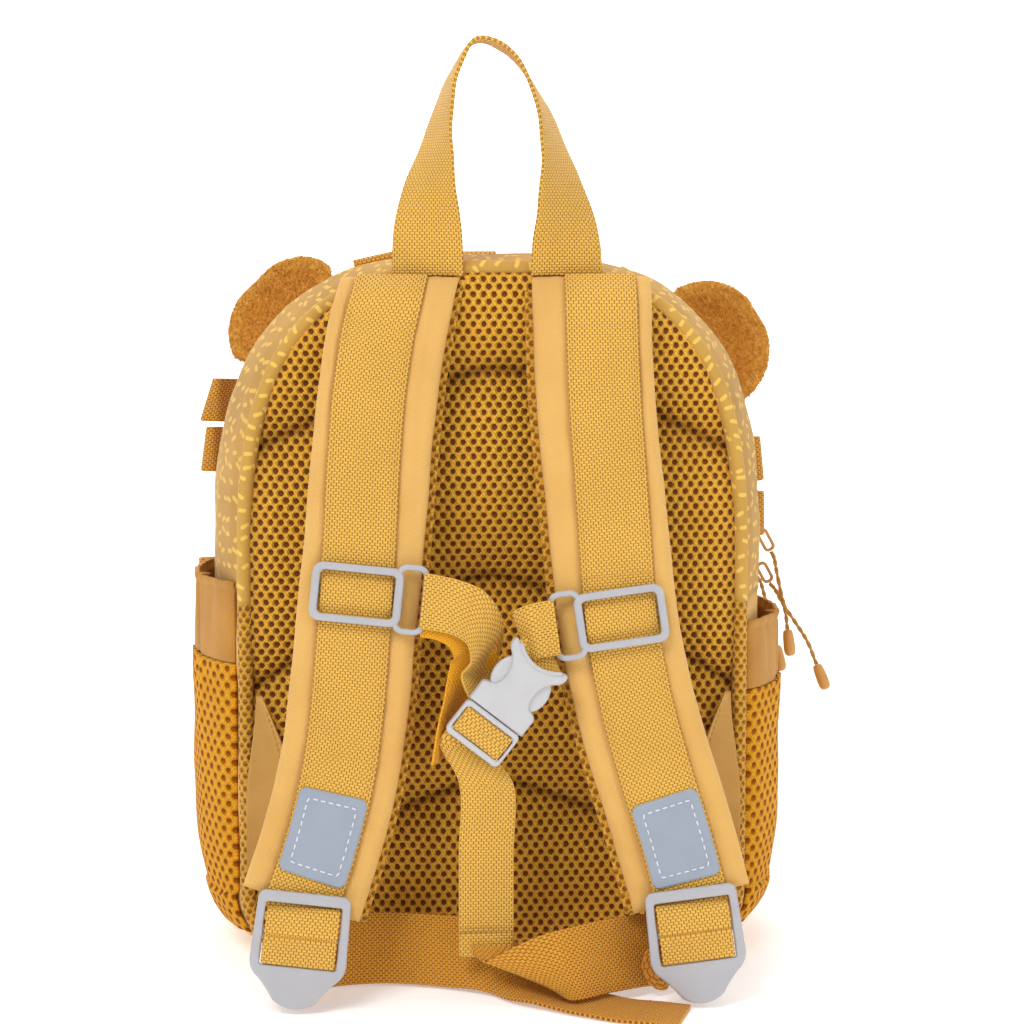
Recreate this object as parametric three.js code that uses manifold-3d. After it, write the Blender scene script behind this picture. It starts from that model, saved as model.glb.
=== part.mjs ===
// A small children's backpack with plush ears and a mane of webbing loops, standing on its base.
// Millimetres, +Z up. The side with the shoulder straps faces -Y, and the origin is the middle of
// the flat base. Soft walls are closed sheets with a real thickness round a hollow compartment.
import * as THREE from 'three';
import Module from 'manifold-3d';
import { mergeVertices } from 'three/addons/utils/BufferGeometryUtils.js';

const wasm = await Module();
wasm.setup();

// Driving sizes of the bag's body
const BODY_HEIGHT = 296;
const BODY_HALF = 117.5;          // half width at the fullest depth
const PANEL_EDGE_HALF = 102.5;    // half width along the seam round the back panel
const FRONT_EDGE_HALF = 108;      // half width along the seam round the front panel
const BODY_BACK = -54;            // where the side walls start, behind the back panel
const BODY_FRONT = 52;            // where the side walls end at the front panel
const DOME_START = 165;           // height where the straight sides turn into the domed top
const DOME_POWER = 2.85;
const CORNER = 26;                // lower corners
const BASE_LIFT = 5;              // how far the base curves up at its front and back edge
const TOP_DROP = 5;               // how far the top falls at its back edge
const FRONT_DROP = 12;            // how far the top slopes down to the front panel
const CLOTH = 2;                  // outer cloth with its lining
const GAP = 0.3;                  // between pieces that are sewn or seated together

// Back panel, its quilting and the rolled edge round it
const PANEL_THICK = 7;
const PANEL_CROWN = 3;
const RIM_RADIUS = 3.2;
const GROOVE_DEPTH = 2.6;
const GROOVE_WIDTH = 9;

// Cloth bands of the side wall
const SEAM_HEIGHT = 153;          // printed cloth above, plain cloth below
const ZIP_START = 11;
const ZIP_END = 23;
const FRONT_DOME = 8;

// Shoulder straps
const STRAP_WIDTH = 48;
const STRAP_THICK = 8;
const STRAP_REACH = 49;           // how far the lower end stands off the panel
const MESH_THICK = 2.4;
const MESH_SHIFT = 4;             // the mesh backing shows along the inner edge
const WEBBING = 29;
const WEBBING_THICK = 1.6;
const WEBBING_SHIFT = 3.5;        // the webbing is sewn nearer the outer edge
const PATCH_WIDTH = 27.5;
const PATCH_LENGTH = 33;
const PATCH_THICK = 0.9;
const PATCH_HEIGHTS = { left: 68, right: 65 };

// Chest strap and its plastic parts
const CHEST = 22;
const CHEST_THICK = 1.3;
const SLIDER_LENGTH = 23.5;
const SLIDER_BAR = 3.1;
const SLIDER_THICK = 2.6;
const SLIDER_HEIGHTS = { left: 162, right: 152 };
const LOOP_REACH = 10;
const HIDDEN_BAR = 1.7;
const BUCKLE_WIDTH = 26;
const BUCKLE_THICK = 6.4;
const BUCKLE_BODY = 30;
const BUCKLE_LADDER = 16;
const LADDER_THICK = 4.4;
const LADDER_BAR = 2.4;
const BUCKLE_ANGLE = THREE.MathUtils.degToRad(52);
const BUCKLE_PLACE = new THREE.Vector3(-2, -112, 115.5);
const TAIL_LENGTH = 84;

// Ladder locks and the webbing through them
const LOCK_LENGTH = 46;
const LOCK_BAR = 4;
const LOCK_THICK = 3;
const LOCK_TOP = 47.5;

// Handle
const HANDLE_TOP = 382;
const HANDLE_HALF = 28;

// Ears, mane loops, side pockets, wings and zip pulls
const EAR_WIDTH = 60;
const EAR_HEIGHT = 37;
const EAR_THICK = 7;
const EAR_CUP = 6.5;
const EAR_LINING = 1.4;
const EAR_SEAT = { left: 3.2, right: 0.35 };  // its root reaches down the dome's slope
const TAB_WIDTH = 20;
const TAB_REACH = 17;
const TAB_THICK = 1.4;
const TAB_FOLD = 3.4;
const POCKET_BULGE = 8.5;
const POCKET_CLOTH = 1.6;
const POCKET_BACK = -47;
const POCKET_FRONT = 44;
const POCKET_FOOT = 12;
const POCKET_EASE = 1.2;          // extra room over the rounded corner
const POCKET_GATHER = 0.7;        // depth of the small folds of its gathered top
const BAND_HEIGHTS = { left: [127, 161], right: [114, 143] };
const WING_TOP = 116;
const WING_FOOT = 42;
const WING_REACH = 15;
const WING_FOLD = 5;              // how far its free edge stands out
const ZIP_SLIDER = 7.2;           // width; its length and thickness are shares of it
const RING_WIDTH = 5.2;
const RING_BAR = 1.3;
const CORD_RADIUS = 0.95;
const GRIP_LENGTH = 12;
const GRIP_RADIUS = 2.6;

const COLOURS = {
  mesh: [0xd6a03c, 0.9], plain: [0xe2b268, 0.85], print: [0xcda55a, 0.8], webbing: [0xe2b054, 0.85],
  plush: [0xdea552, 0.95], rust: [0xc8731e, 0.95], plastic: [0xcdcbce, 0.4], patch: [0xa5afbe, 0.45],
  zip: [0xc89a58, 0.5],
};

const bag = new THREE.Group();
const V = (x, y, z) => new THREE.Vector3(x, y, z);
const lerp = THREE.MathUtils.lerp;
const SIDES = { left: -1, right: 1 };

// Adds one named piece with its own material.
function add(name, geometry, look) {
  const [color, roughness] = COLOURS[look];
  const material = new THREE.MeshStandardMaterial({ color, roughness, metalness: 0 });
  const mesh = new THREE.Mesh(geometry, material);
  mesh.name = name;
  bag.add(mesh);
  return mesh;
}

// Closed body from corner points and triangles, turned so that its faces point out.
function solid(points, index) {
  let volume = 0;
  for (let i = 0; i < index.length; i += 3) {
    const [a, b, c] = [points[index[i]], points[index[i + 1]], points[index[i + 2]]];
    volume += a.dot(b.clone().cross(c));
  }
  if (volume < 0) {
    for (let i = 0; i < index.length; i += 3) [index[i], index[i + 1]] = [index[i + 1], index[i]];
  }
  const geometry = new THREE.BufferGeometry().setFromPoints(points);
  geometry.setIndex(index);
  geometry.computeVertexNormals();
  return geometry;
}

// Closed body between two grids of points that match row by row and column by column.
function shell(outer, inner, wrap = false) {
  const rows = outer.length;
  const columns = outer[0].length;
  const index = [];
  const id = (side, i, j) => side * rows * columns + (i % rows) * columns + j;
  const quad = (a, b, c, d) => index.push(a, b, c, a, c, d);
  const last = columns - 1;
  for (let i = 0; i < (wrap ? rows : rows - 1); i++) {
    for (let j = 0; j < last; j++) {
      quad(id(0, i, j), id(0, i + 1, j), id(0, i + 1, j + 1), id(0, i, j + 1));
      quad(id(1, i, j), id(1, i, j + 1), id(1, i + 1, j + 1), id(1, i + 1, j));
    }
    quad(id(0, i, 0), id(1, i, 0), id(1, i + 1, 0), id(0, i + 1, 0));
    quad(id(0, i + 1, last), id(1, i + 1, last), id(1, i, last), id(0, i, last));
  }
  if (!wrap) {
    const end = rows - 1;
    for (let j = 0; j < last; j++) {
      quad(id(0, 0, j), id(0, 0, j + 1), id(1, 0, j + 1), id(1, 0, j));
      quad(id(0, end, j + 1), id(0, end, j), id(1, end, j), id(1, end, j + 1));
    }
  }
  return solid([...outer.flat(), ...inner.flat()], index);
}

// Body swept along points: a section of [across, out] places, with flat ends unless it is a loop.
function sweep(path, section, out, loop = false) {
  const count = path.length;
  const points = [];
  path.forEach((p, i) => {
    const ahead = path[loop ? (i + 1) % count : Math.min(i + 1, count - 1)];
    const behind = path[loop ? (i + count - 1) % count : Math.max(i - 1, 0)];
    const along = ahead.clone().sub(behind).normalize();
    const across = along.clone().cross(out).normalize();
    const face = across.clone().cross(along);
    for (const [a, b] of section) points.push(p.clone().addScaledVector(across, a).addScaledVector(face, b));
  });
  const index = [];
  const n = section.length;
  for (let i = 0; i < (loop ? count : count - 1); i++) {
    for (let j = 0; j < n; j++) {
      const [a, b] = [i * n + j, i * n + ((j + 1) % n)];
      const [c, d] = [((i + 1) % count) * n + ((j + 1) % n), ((i + 1) % count) * n + j];
      index.push(a, b, c, a, c, d);
    }
  }
  if (!loop) {
    const end = (count - 1) * n;
    for (let j = 1; j < n - 1; j++) index.push(0, j + 1, j, end, end + j, end + j + 1);
  }
  return solid(points, index);
}

const roundSection = (radius, sides) => Array.from({ length: sides }, (_, i) => {
  const turn = (i / sides) * 2 * Math.PI;
  return [radius * Math.cos(turn), radius * Math.sin(turn)];
});

// Flat webbing along a smooth line. Each row is a place and the direction of the webbing's width.
function webbing(rows, width, thick, steps) {
  const line = new THREE.CatmullRomCurve3(rows.map((row) => row[0]), false, 'centripetal');
  const ways = new THREE.CatmullRomCurve3(rows.map((row) => row[1].clone().normalize()));
  const front = [];
  const back = [];
  for (let i = 0; i <= steps; i++) {
    const place = line.getPoint(i / steps);
    const side = ways.getPoint(i / steps).normalize();
    const face = line.getTangent(i / steps).cross(side).normalize();
    const edge = (s, t) => place.clone().addScaledVector(side, (s * width) / 2).addScaledVector(face, t);
    front.push([edge(-1, thick / 2), edge(1, thick / 2)]);
    back.push([edge(-1, -thick / 2), edge(1, -thick / 2)]);
  }
  return shell(front, back);
}

// Joins closed bodies into one.
function join(...parts) {
  const solids = parts.map((part) => {
    const bare = part.clone();
    bare.deleteAttribute('normal');
    if (bare.getAttribute('uv')) bare.deleteAttribute('uv');
    const merged = mergeVertices(bare, 1e-4);
    return new wasm.Manifold(new wasm.Mesh({
      numProp: 3,
      vertProperties: new Float32Array(merged.getAttribute('position').array),
      triVerts: new Uint32Array(merged.getIndex().array),
    }));
  });
  const mesh = solids.reduce((whole, next) => whole.add(next)).getMesh();
  const geometry = new THREE.BufferGeometry();
  geometry.setAttribute('position', new THREE.BufferAttribute(mesh.vertProperties, 3));
  geometry.setIndex(new THREE.BufferAttribute(mesh.triVerts, 1));
  geometry.computeVertexNormals();
  return geometry;
}

// The body's cross outline. Columns: share of the depth, how far the sides have swelled from the
// seam round the panel to the fullest width, how far the base has come down from its edges to the
// floor, and the shares of the back and front drops of the top.
const DEPTH_ROWS = [
  [0.00, 0.00, 0.00, 1.00, 0.00],
  [0.12, 0.45, 0.75, 0.35, 0.00],
  [0.28, 0.82, 1.00, 0.00, 0.00],
  [0.50, 1.00, 1.00, 0.00, 0.10],
  [0.72, 0.90, 1.00, 0.00, 0.35],
  [0.90, 0.55, 0.80, 0.00, 0.72],
  [1.00, 0.30, 0.00, 0.00, 1.00],
];

// A table's values at a share, between its rows.
function between(rows, share) {
  const at = THREE.MathUtils.clamp(share, rows[0][0], rows[rows.length - 1][0]);
  const next = Math.max(1, rows.findIndex((row) => row[0] >= at));
  const blend = (at - rows[next - 1][0]) / (rows[next][0] - rows[next - 1][0]);
  return rows[next].map((value, i) => lerp(rows[next - 1][i], value, blend));
}

function section(y) {
  const share = (y - BODY_BACK) / (BODY_FRONT - BODY_BACK);
  const [, swell, level, fall, slope] = between(DEPTH_ROWS, share);
  const drop = TOP_DROP * fall + FRONT_DROP * slope;
  const seamHalf = share > 0.5 ? FRONT_EDGE_HALF : PANEL_EDGE_HALF;
  const seamSwell = share > 0.5 ? DEPTH_ROWS[DEPTH_ROWS.length - 1][1] : 0;
  const half = lerp(seamHalf, BODY_HALF, (swell - seamSwell) / (1 - seamSwell));
  return { y, half, base: BASE_LIFT * (1 - level), top: BODY_HEIGHT - drop };
}

const ARCH_STEPS = 16;
const SIDE_STEPS = 2;
const CORNER_STEPS = 4;
const BASE_STEPS = 2;

// Points from the right seam height over the domed top to the left one, moved inwards by inset.
function archPoints(cut, inset, from = SEAM_HEIGHT) {
  const points = [];
  const half = cut.half - inset;
  const rise = cut.top - inset - DOME_START;
  points.push(V(half, cut.y, from));
  for (let i = 0; i <= ARCH_STEPS; i++) {
    const turn = (i / ARCH_STEPS) * Math.PI;
    const x = Math.sign(Math.cos(turn)) * Math.abs(Math.cos(turn)) ** (2 / DOME_POWER);
    points.push(V(x * half, cut.y, DOME_START + rise * Math.sin(turn) ** (2 / DOME_POWER)));
  }
  points.push(V(-half, cut.y, from));
  return points;
}

// Points from the left seam height down, under the base and up to the right one.
function cradlePoints(cut, inset, from = SEAM_HEIGHT) {
  const half = cut.half - inset;
  const floor = cut.base + inset;
  const corner = CORNER - inset;
  const right = [];
  for (let i = 0; i < SIDE_STEPS; i++) right.push([half, lerp(from, floor + corner, i / SIDE_STEPS)]);
  for (let i = 0; i <= CORNER_STEPS; i++) {
    const turn = (i / CORNER_STEPS) * (Math.PI / 2);
    right.push([half - corner * (1 - Math.cos(turn)), floor + corner * (1 - Math.sin(turn))]);
  }
  for (let i = 1; i < BASE_STEPS; i++) right.push([lerp(half - corner, 0, i / BASE_STEPS), floor]);
  const left = right.map(([x, z]) => V(-x, cut.y, z));
  return [...left, V(0, cut.y, floor), ...right.reverse().map(([x, z]) => V(x, cut.y, z))];
}

// A wall of cloth following the outline between two depths.
function wall(points, from, to, steps, thick = CLOTH) {
  const depths = Array.from({ length: steps + 1 }, (_, i) => lerp(from, to, i / steps));
  const grid = (inset) => {
    const lines = depths.map((y) => points(section(y), inset));
    return lines[0].map((_, i) => lines.map((line) => line[i]));
  };
  return shell(grid(0), grid(thick));
}

const upperWall = (cut, inset) => archPoints(cut, inset, SEAM_HEIGHT + GAP);

function buildBody() {
  add('gusset_print', wall(upperWall, BODY_BACK + GAP, ZIP_START, 4), 'print');
  add('zip_band', wall(upperWall, ZIP_START + GAP, ZIP_END, 1), 'webbing');
  add('gusset_front', wall(upperWall, ZIP_END + GAP, BODY_FRONT, 2), 'print');
  add('gusset_plain', wall(cradlePoints, BODY_BACK + GAP, BODY_FRONT, 6), 'plain');
  buildPanel();
  buildRim();
  buildFront();
}

// Half width of a panel's outline at one height.
function halfAt(z, half, base, top, corner) {
  if (z < base + corner) {
    const drop = Math.min(corner, base + corner - z);
    return half - corner + Math.sqrt(Math.max(0, corner * corner - drop * drop));
  }
  if (z <= DOME_START) return half;
  const share = Math.min(1, (z - DOME_START) / (top - DOME_START));
  return half * (1 - share ** DOME_POWER) ** (1 / DOME_POWER);
}

// The quilted grooves are nested arches: heights of their peaks as shares of the body's height.
const GROOVES = [0.845, 0.555, 0.265];
const GROOVE_FALL = 0.17;         // share of the body's height lost towards the edges
const PANEL_ROWS = 32;
const PANEL_COLUMNS = 10;

// How far a line of the quilting has come down at a place across, fading out at the panel's ends.
function archFall(x, even) {
  const across = Math.abs(x) / BODY_HALF;
  const bend = Math.hypot(across, 0.12) - 0.12;
  return BODY_HEIGHT * GROOVE_FALL * bend * (1 + 0.3 * across) * Math.sin(Math.PI * even) ** 0.5;
}

// Depth of the quilting on a line whose peak is at a height.
function quilting(peak) {
  return GROOVES.reduce((deepest, share) => {
    const away = Math.abs(peak - share * BODY_HEIGHT) / GROOVE_WIDTH;
    return Math.max(deepest, away < 1 ? GROOVE_DEPTH * (1 - away) : 0);
  }, 0);
}

// Rows of points across an outline; bend(x, even) lowers a row's sides, and depth(x, edge, peak)
// gives each point's place in depth.
function plate({ half, base, top, corner, rows, columns, bend }, depth) {
  const grid = [];
  for (let i = 0; i <= rows; i++) {
    const even = i / rows;
    const round = (1 - Math.cos(even * Math.PI)) / 2;
    const peak = lerp(base, top, lerp(even, round, 0.3) * 0.9985 + 0.0006);
    let [reach, beyond] = [0, half];
    for (let pass = 0; pass < 24; pass++) {
      const middle = (reach + beyond) / 2;
      if (middle < halfAt(peak - bend(middle, even), half, base, top, corner)) reach = middle;
      else beyond = middle;
    }
    grid.push(Array.from({ length: columns + 1 }, (_, j) => {
      const x = reach * ((2 * j) / columns - 1);
      const z = peak - bend(x, even);
      const edge = Math.min(reach - Math.abs(x), z - base, top - z);
      return V(x, depth(x, edge, peak), z);
    }));
  }
  return grid;
}

const panelHalf = PANEL_EDGE_HALF - RIM_RADIUS - 3 * GAP;
const panelBase = RIM_RADIUS + BASE_LIFT + 3 * GAP;
const panelTop = BODY_HEIGHT - TOP_DROP - RIM_RADIUS - 3 * GAP;
const panelBack = BODY_BACK - GAP;

function buildPanel() {
  const face = (x, edge, peak) => {
    const round = Math.min(1, Math.max(0, edge) / (2 * PANEL_THICK));
    const crown = (PANEL_THICK / 2) * (1 + round) + PANEL_CROWN * round * (1 - (x / panelHalf) ** 2);
    return panelBack - crown + quilting(peak) * round;
  };
  const shape = { half: panelHalf, base: panelBase, top: panelTop, corner: CORNER - RIM_RADIUS - GAP,
    rows: PANEL_ROWS, columns: PANEL_COLUMNS, bend: archFall };
  add('back_panel', shell(plate(shape, face), plate(shape, () => panelBack)), 'mesh');
}

function buildRim() {
  const top = BODY_HEIGHT - TOP_DROP;
  const cut = { y: BODY_BACK - RIM_RADIUS, half: PANEL_EDGE_HALF, base: BASE_LIFT, top };
  const arch = archPoints(cut, 0);
  const cradle = cradlePoints(cut, 0);
  const path = [...arch, ...cradle.slice(1, -1)];
  add('rim', sweep(path, roundSection(RIM_RADIUS, 5), V(0, 1, 0), true), 'print');
}

function buildFront() {
  const cut = section(BODY_FRONT);
  const back = BODY_FRONT + GAP;
  const domed = (offset) => (x, edge) => {
    const round = Math.min(1, Math.max(0, edge) / (BODY_HALF / 2));
    return back + offset + FRONT_DOME * Math.sin((round * Math.PI) / 2);
  };
  const shape = { half: cut.half, base: cut.base, top: cut.top, corner: CORNER, rows: 13, columns: 8,
    bend: () => 0 };
  add('front_panel', shell(plate(shape, domed(CLOTH)), plate(shape, domed(0))), 'plain');
}

// The shoulder straps' middle line. Columns: height and sideways place, as shares of the body's
// height and half width, for the left and the right strap, share of the stand-off, share of the
// thickness, and share of the webbing's shift towards the outer edge.
const STRAP_ROWS = [
  [0.970, 0.325, 0.335, 0.00, 0.45, 1.00],
  [0.935, 0.348, 0.335, 0.125, 0.80, 1.00],
  [0.895, 0.372, 0.336, 0.180, 1.00, 1.00],
  [0.810, 0.405, 0.342, 0.30, 1.00, 1.00],
  [0.710, 0.432, 0.362, 0.43, 1.00, 0.80],
  [0.608, 0.455, 0.386, 0.55, 1.00, 0.50],
  [0.507, 0.482, 0.412, 0.65, 1.00, 0.20],
  [0.405, 0.508, 0.462, 0.74, 1.00, 0.10],
  [0.310, 0.545, 0.528, 0.83, 1.00, 0.00],
  [0.222, 0.602, 0.596, 0.92, 1.00, 0.00],
  [0.140, 0.672, 0.650, 1.00, 1.00, 0.00],
];
const strapStart = panelBack - PANEL_THICK - PANEL_CROWN;

function strapCurve(side) {
  const column = side === 'left' ? 1 : 2;
  const places = STRAP_ROWS.map((row) => V(
    SIDES[side] * row[column] * BODY_HALF, strapStart - row[3] * STRAP_REACH, row[0] * BODY_HEIGHT));
  return new THREE.CatmullRomCurve3(places, false, 'centripetal');
}

// Where the strap's line is at a height: place, directions across (+X side), down and out, and the
// shares of the thickness and of the webbing's shift there. Its top edge lies level in the seam.
function strapFrame(curve, height) {
  let [low, high] = [0, 1];
  for (let i = 0; i < 24; i++) {
    const middle = (low + high) / 2;
    if (curve.getPoint(middle).z > height) low = middle;
    else high = middle;
  }
  const place = curve.getPoint(low);
  const down = curve.getTangent(low);
  const out = V(0, -1, 0).addScaledVector(down, down.y).normalize();
  const level = THREE.MathUtils.smoothstep(height, 0.86 * BODY_HEIGHT, 0.96 * BODY_HEIGHT);
  const across = out.clone().cross(down).normalize().lerp(V(1, 0, 0), level).normalize();
  const share = height / BODY_HEIGHT;
  const next = Math.max(1, STRAP_ROWS.findIndex((row) => row[0] <= share));
  const [from, to] = [STRAP_ROWS[next - 1], STRAP_ROWS[next]];
  const blend = THREE.MathUtils.clamp((from[0] - share) / (from[0] - to[0]), 0, 1);
  return { place, down, out, across, full: lerp(from[4], to[4], blend), shift: lerp(from[5], to[5], blend) };
}

const PAD_STEPS = 18;
const LIFT_LENGTH = 8;

// Heights of the strap's sections, closer together round the slider.
function strapHeights(side, from, to) {
  const middle = SLIDER_HEIGHTS[side];
  const even = Array.from({ length: PAD_STEPS + 1 }, (_, i) => lerp(from, to, i / PAD_STEPS));
  const near = [-1, -0.5, 0, 0.5, 1].map((share) => middle + share * LIFT_LENGTH);
  const apart = even.filter((z) => Math.abs(z - middle) > LIFT_LENGTH + 1.5);
  return [...apart, ...near].sort((a, b) => b - a);
}

// A layer that follows the strap. Shift moves it inwards or, as the webbing is, outwards by the
// frame's share; front and back give the out-distances of its faces.
function strapLayer(side, heights, half, shift, columns, front, back) {
  const curve = strapCurve(side);
  const grid = (level) => heights.map((z) => {
    const frame = strapFrame(curve, z);
    return columns.map((column) => frame.place.clone()
      .addScaledVector(frame.across, shift(frame) + column[0] * half)
      .addScaledVector(frame.out, level(column, z, frame.full)));
  });
  return shell(grid(front), grid(back));
}

// Across the pad. Columns: share of the half width and share of the thickness.
const PAD_COLUMNS = [[-1, 0.35], [-0.86, 0.95], [0, 1], [0.86, 0.95], [1, 0.35]];
const FLAT = [[-1, 1], [1, 1]];
const strapTop = STRAP_ROWS[0][0] * BODY_HEIGHT;
const strapEnd = STRAP_ROWS[STRAP_ROWS.length - 1][0] * BODY_HEIGHT;
const padFace = STRAP_THICK / 2;

// How far the webbing rises over the slider's hidden bar.
function webbingLift(side, z) {
  const away = Math.abs(z - SLIDER_HEIGHTS[side]) / LIFT_LENGTH;
  return away < 1 ? (HIDDEN_BAR + 1.5 * GAP) * Math.min(1, 2 * (1 - away)) : 0;
}

function buildStrap(side) {
  const sign = SIDES[side];
  const heights = strapHeights(side, strapTop, strapEnd);
  const outwards = (frame) => sign * WEBBING_SHIFT * frame.shift;
  const pad = strapLayer(side, heights, STRAP_WIDTH / 2, () => 0, PAD_COLUMNS,
    (column, _, full) => padFace * column[1] * full, (column, _, full) => -padFace * column[1] * full);
  add(`strap_${side}`, pad, 'plain');
  const backing = strapLayer(side, heights, STRAP_WIDTH / 2 - 1, () => -sign * MESH_SHIFT, FLAT,
    (_, z, full) => -padFace * full - GAP, (_, z, full) => -(padFace + MESH_THICK) * full - GAP);
  add(`strap_mesh_${side}`, backing, 'mesh');
  const under = (z, full) => padFace * full + GAP + webbingLift(side, z);
  const tape = strapLayer(side, heights, WEBBING / 2, outwards, FLAT,
    (_, z, full) => under(z, full) + WEBBING_THICK, (_, z, full) => under(z, full));
  add(`strap_webbing_${side}`, tape, 'webbing');
  const patchUnder = padFace + GAP + WEBBING_THICK + GAP;
  const patchHeights = [0.5, 0.25, 0, -0.25, -0.5].map((share) => PATCH_HEIGHTS[side] + share * PATCH_LENGTH);
  const patch = strapLayer(side, patchHeights, PATCH_WIDTH / 2, outwards, FLAT,
    () => patchUnder + PATCH_THICK, () => patchUnder);
  add(`reflective_patch_${side}`, patch, 'patch');
}

// Any flat shape, with or without a hole, as a plate whose middle plane is at height nought.
function framePlate(outline, holes, thick, curveSegments = 2) {
  outline.holes.push(...holes);
  const geometry = new THREE.ExtrudeGeometry(outline, { depth: thick, bevelEnabled: false, curveSegments });
  return geometry.translate(0, 0, -thick / 2);
}

function roundedBox(left, right, low, high, radius, Kind = THREE.Shape) {
  const shape = new Kind();
  shape.moveTo(left + radius, low);
  shape.lineTo(right - radius, low);
  shape.absarc(right - radius, low + radius, radius, -Math.PI / 2, 0);
  shape.lineTo(right, high - radius);
  shape.absarc(right - radius, high - radius, radius, 0, Math.PI / 2);
  shape.lineTo(left + radius, high);
  shape.absarc(left + radius, high - radius, radius, Math.PI / 2, Math.PI);
  shape.lineTo(left, low + radius);
  shape.absarc(left + radius, low + radius, radius, Math.PI, 1.5 * Math.PI);
  return shape;
}

// Puts a piece made in its own frame (X across, Y up the strap, Z out) on the bag.
function seat(mesh, place, across, up) {
  const out = across.clone().cross(up).normalize();
  mesh.quaternion.setFromRotationMatrix(new THREE.Matrix4().makeBasis(across, up, out));
  mesh.position.copy(place);
  return mesh;
}

const sliderHalf = WEBBING / 2 + 2 * GAP + SLIDER_BAR;
const sliderLevel = padFace + 2 * GAP + WEBBING_THICK + 4 * GAP + SLIDER_THICK / 2;
const loopHalf = CHEST / 2 + 2 * GAP + SLIDER_BAR * 0.75;

// The plastic loop on the webbing, with a second loop beside it for the chest strap.
function buildSlider(side) {
  const sign = SIDES[side];
  const high = SLIDER_LENGTH / 2;
  const inner = high - SLIDER_BAR;
  const open = sliderHalf - SLIDER_BAR;
  const ring = framePlate(roundedBox(-sliderHalf, sliderHalf, -high, high, 4),
    [roundedBox(-open, open, -inner, inner, 1.5, THREE.Path)], SLIDER_THICK);
  const bar = SLIDER_BAR * 0.75;
  const far = sliderHalf + LOOP_REACH;
  const near = sliderHalf - 1;
  const loop = framePlate(roundedBox(near - bar, far, -loopHalf, loopHalf, 4),
    [roundedBox(near, far - bar, -loopHalf + bar, loopHalf - bar, 2, THREE.Path)], SLIDER_THICK - 0.4);
  if (sign > 0) loop.rotateZ(Math.PI);
  const hidden = new THREE.BoxGeometry(2 * sliderHalf - SLIDER_BAR, 2.4, HIDDEN_BAR);
  const drop = sliderLevel - (padFace + GAP + HIDDEN_BAR / 2);
  hidden.translate(0, 0, -drop);
  const legs = [-1, 1].map((end) => {
    const leg = new THREE.BoxGeometry(SLIDER_BAR - 1, 5, drop + HIDDEN_BAR / 2);
    return leg.translate(end * (sliderHalf - SLIDER_BAR / 2), 0, -(drop + HIDDEN_BAR / 2) / 2);
  });
  const frame = strapFrame(strapCurve(side), SLIDER_HEIGHTS[side]);
  const place = frame.place.clone().addScaledVector(frame.across, sign * WEBBING_SHIFT * frame.shift)
    .addScaledVector(frame.out, sliderLevel);
  const up = frame.down.clone().negate();
  seat(add(`sternum_slider_${side}`, join(ring, loop, hidden, ...legs), 'plastic'), place, frame.across, up);
  const barPlace = place.clone().addScaledVector(frame.across, -sign * (far - bar / 2));
  return { place: barPlace, across: frame.across, up, out: frame.out };
}

// Buckle in its own frame: X across, Y towards the right shoulder, Z out.
const buckleUp = V(Math.cos(BUCKLE_ANGLE), 0, Math.sin(BUCKLE_ANGLE));
const buckleAcross = V(Math.sin(BUCKLE_ANGLE), 0, -Math.cos(BUCKLE_ANGLE));
const onBuckle = (x, y, z) => BUCKLE_PLACE.clone().addScaledVector(buckleAcross, x)
  .addScaledVector(buckleUp, y).add(V(0, -z, 0));

function buildBuckle() {
  const half = BUCKLE_WIDTH / 2;
  const window = CHEST / 2 + 2 * GAP;
  const frame = framePlate(roundedBox(-half, half, -BUCKLE_LADDER, 0, 2),
    [roundedBox(-window, window, LADDER_BAR - BUCKLE_LADDER, -LADDER_BAR, 1, THREE.Path)], LADDER_THICK);
  const bar = new THREE.BoxGeometry(BUCKLE_WIDTH - 2, LADDER_BAR, 2).translate(0, -BUCKLE_LADDER / 2, 0);
  seat(add('buckle_ladder', join(frame, bar), 'plastic'), BUCKLE_PLACE, buckleAcross, buckleUp);
  const body = new THREE.Shape();
  const waist = half * 0.62;
  body.moveTo(-half, GAP);
  body.lineTo(half, GAP);
  body.lineTo(half, BUCKLE_BODY * 0.28);
  body.quadraticCurveTo(waist, BUCKLE_BODY * 0.36, waist, BUCKLE_BODY * 0.55);
  body.quadraticCurveTo(waist, BUCKLE_BODY * 0.78, half, BUCKLE_BODY);
  body.lineTo(half - 2.6, BUCKLE_BODY);
  body.quadraticCurveTo(0, BUCKLE_BODY * 0.7, 2.6 - half, BUCKLE_BODY);
  body.lineTo(-half, BUCKLE_BODY);
  body.quadraticCurveTo(-waist, BUCKLE_BODY * 0.78, -waist, BUCKLE_BODY * 0.55);
  body.quadraticCurveTo(-waist, BUCKLE_BODY * 0.36, -half, BUCKLE_BODY * 0.28);
  const block = framePlate(body, [], BUCKLE_THICK, 4);
  seat(add('buckle_body', block, 'plastic'), BUCKLE_PLACE, buckleAcross, buckleUp);
}

// Webbing's way round the ladder's middle bar, from behind the frame to the bar's front: shares of
// the bar's width along the buckle and of the ladder's thickness out of it.
const ROUND_BAR = [[2.3, -0.84], [1.5, -0.32], [1.12, 0.18], [0.72, 0.45]];

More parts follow.
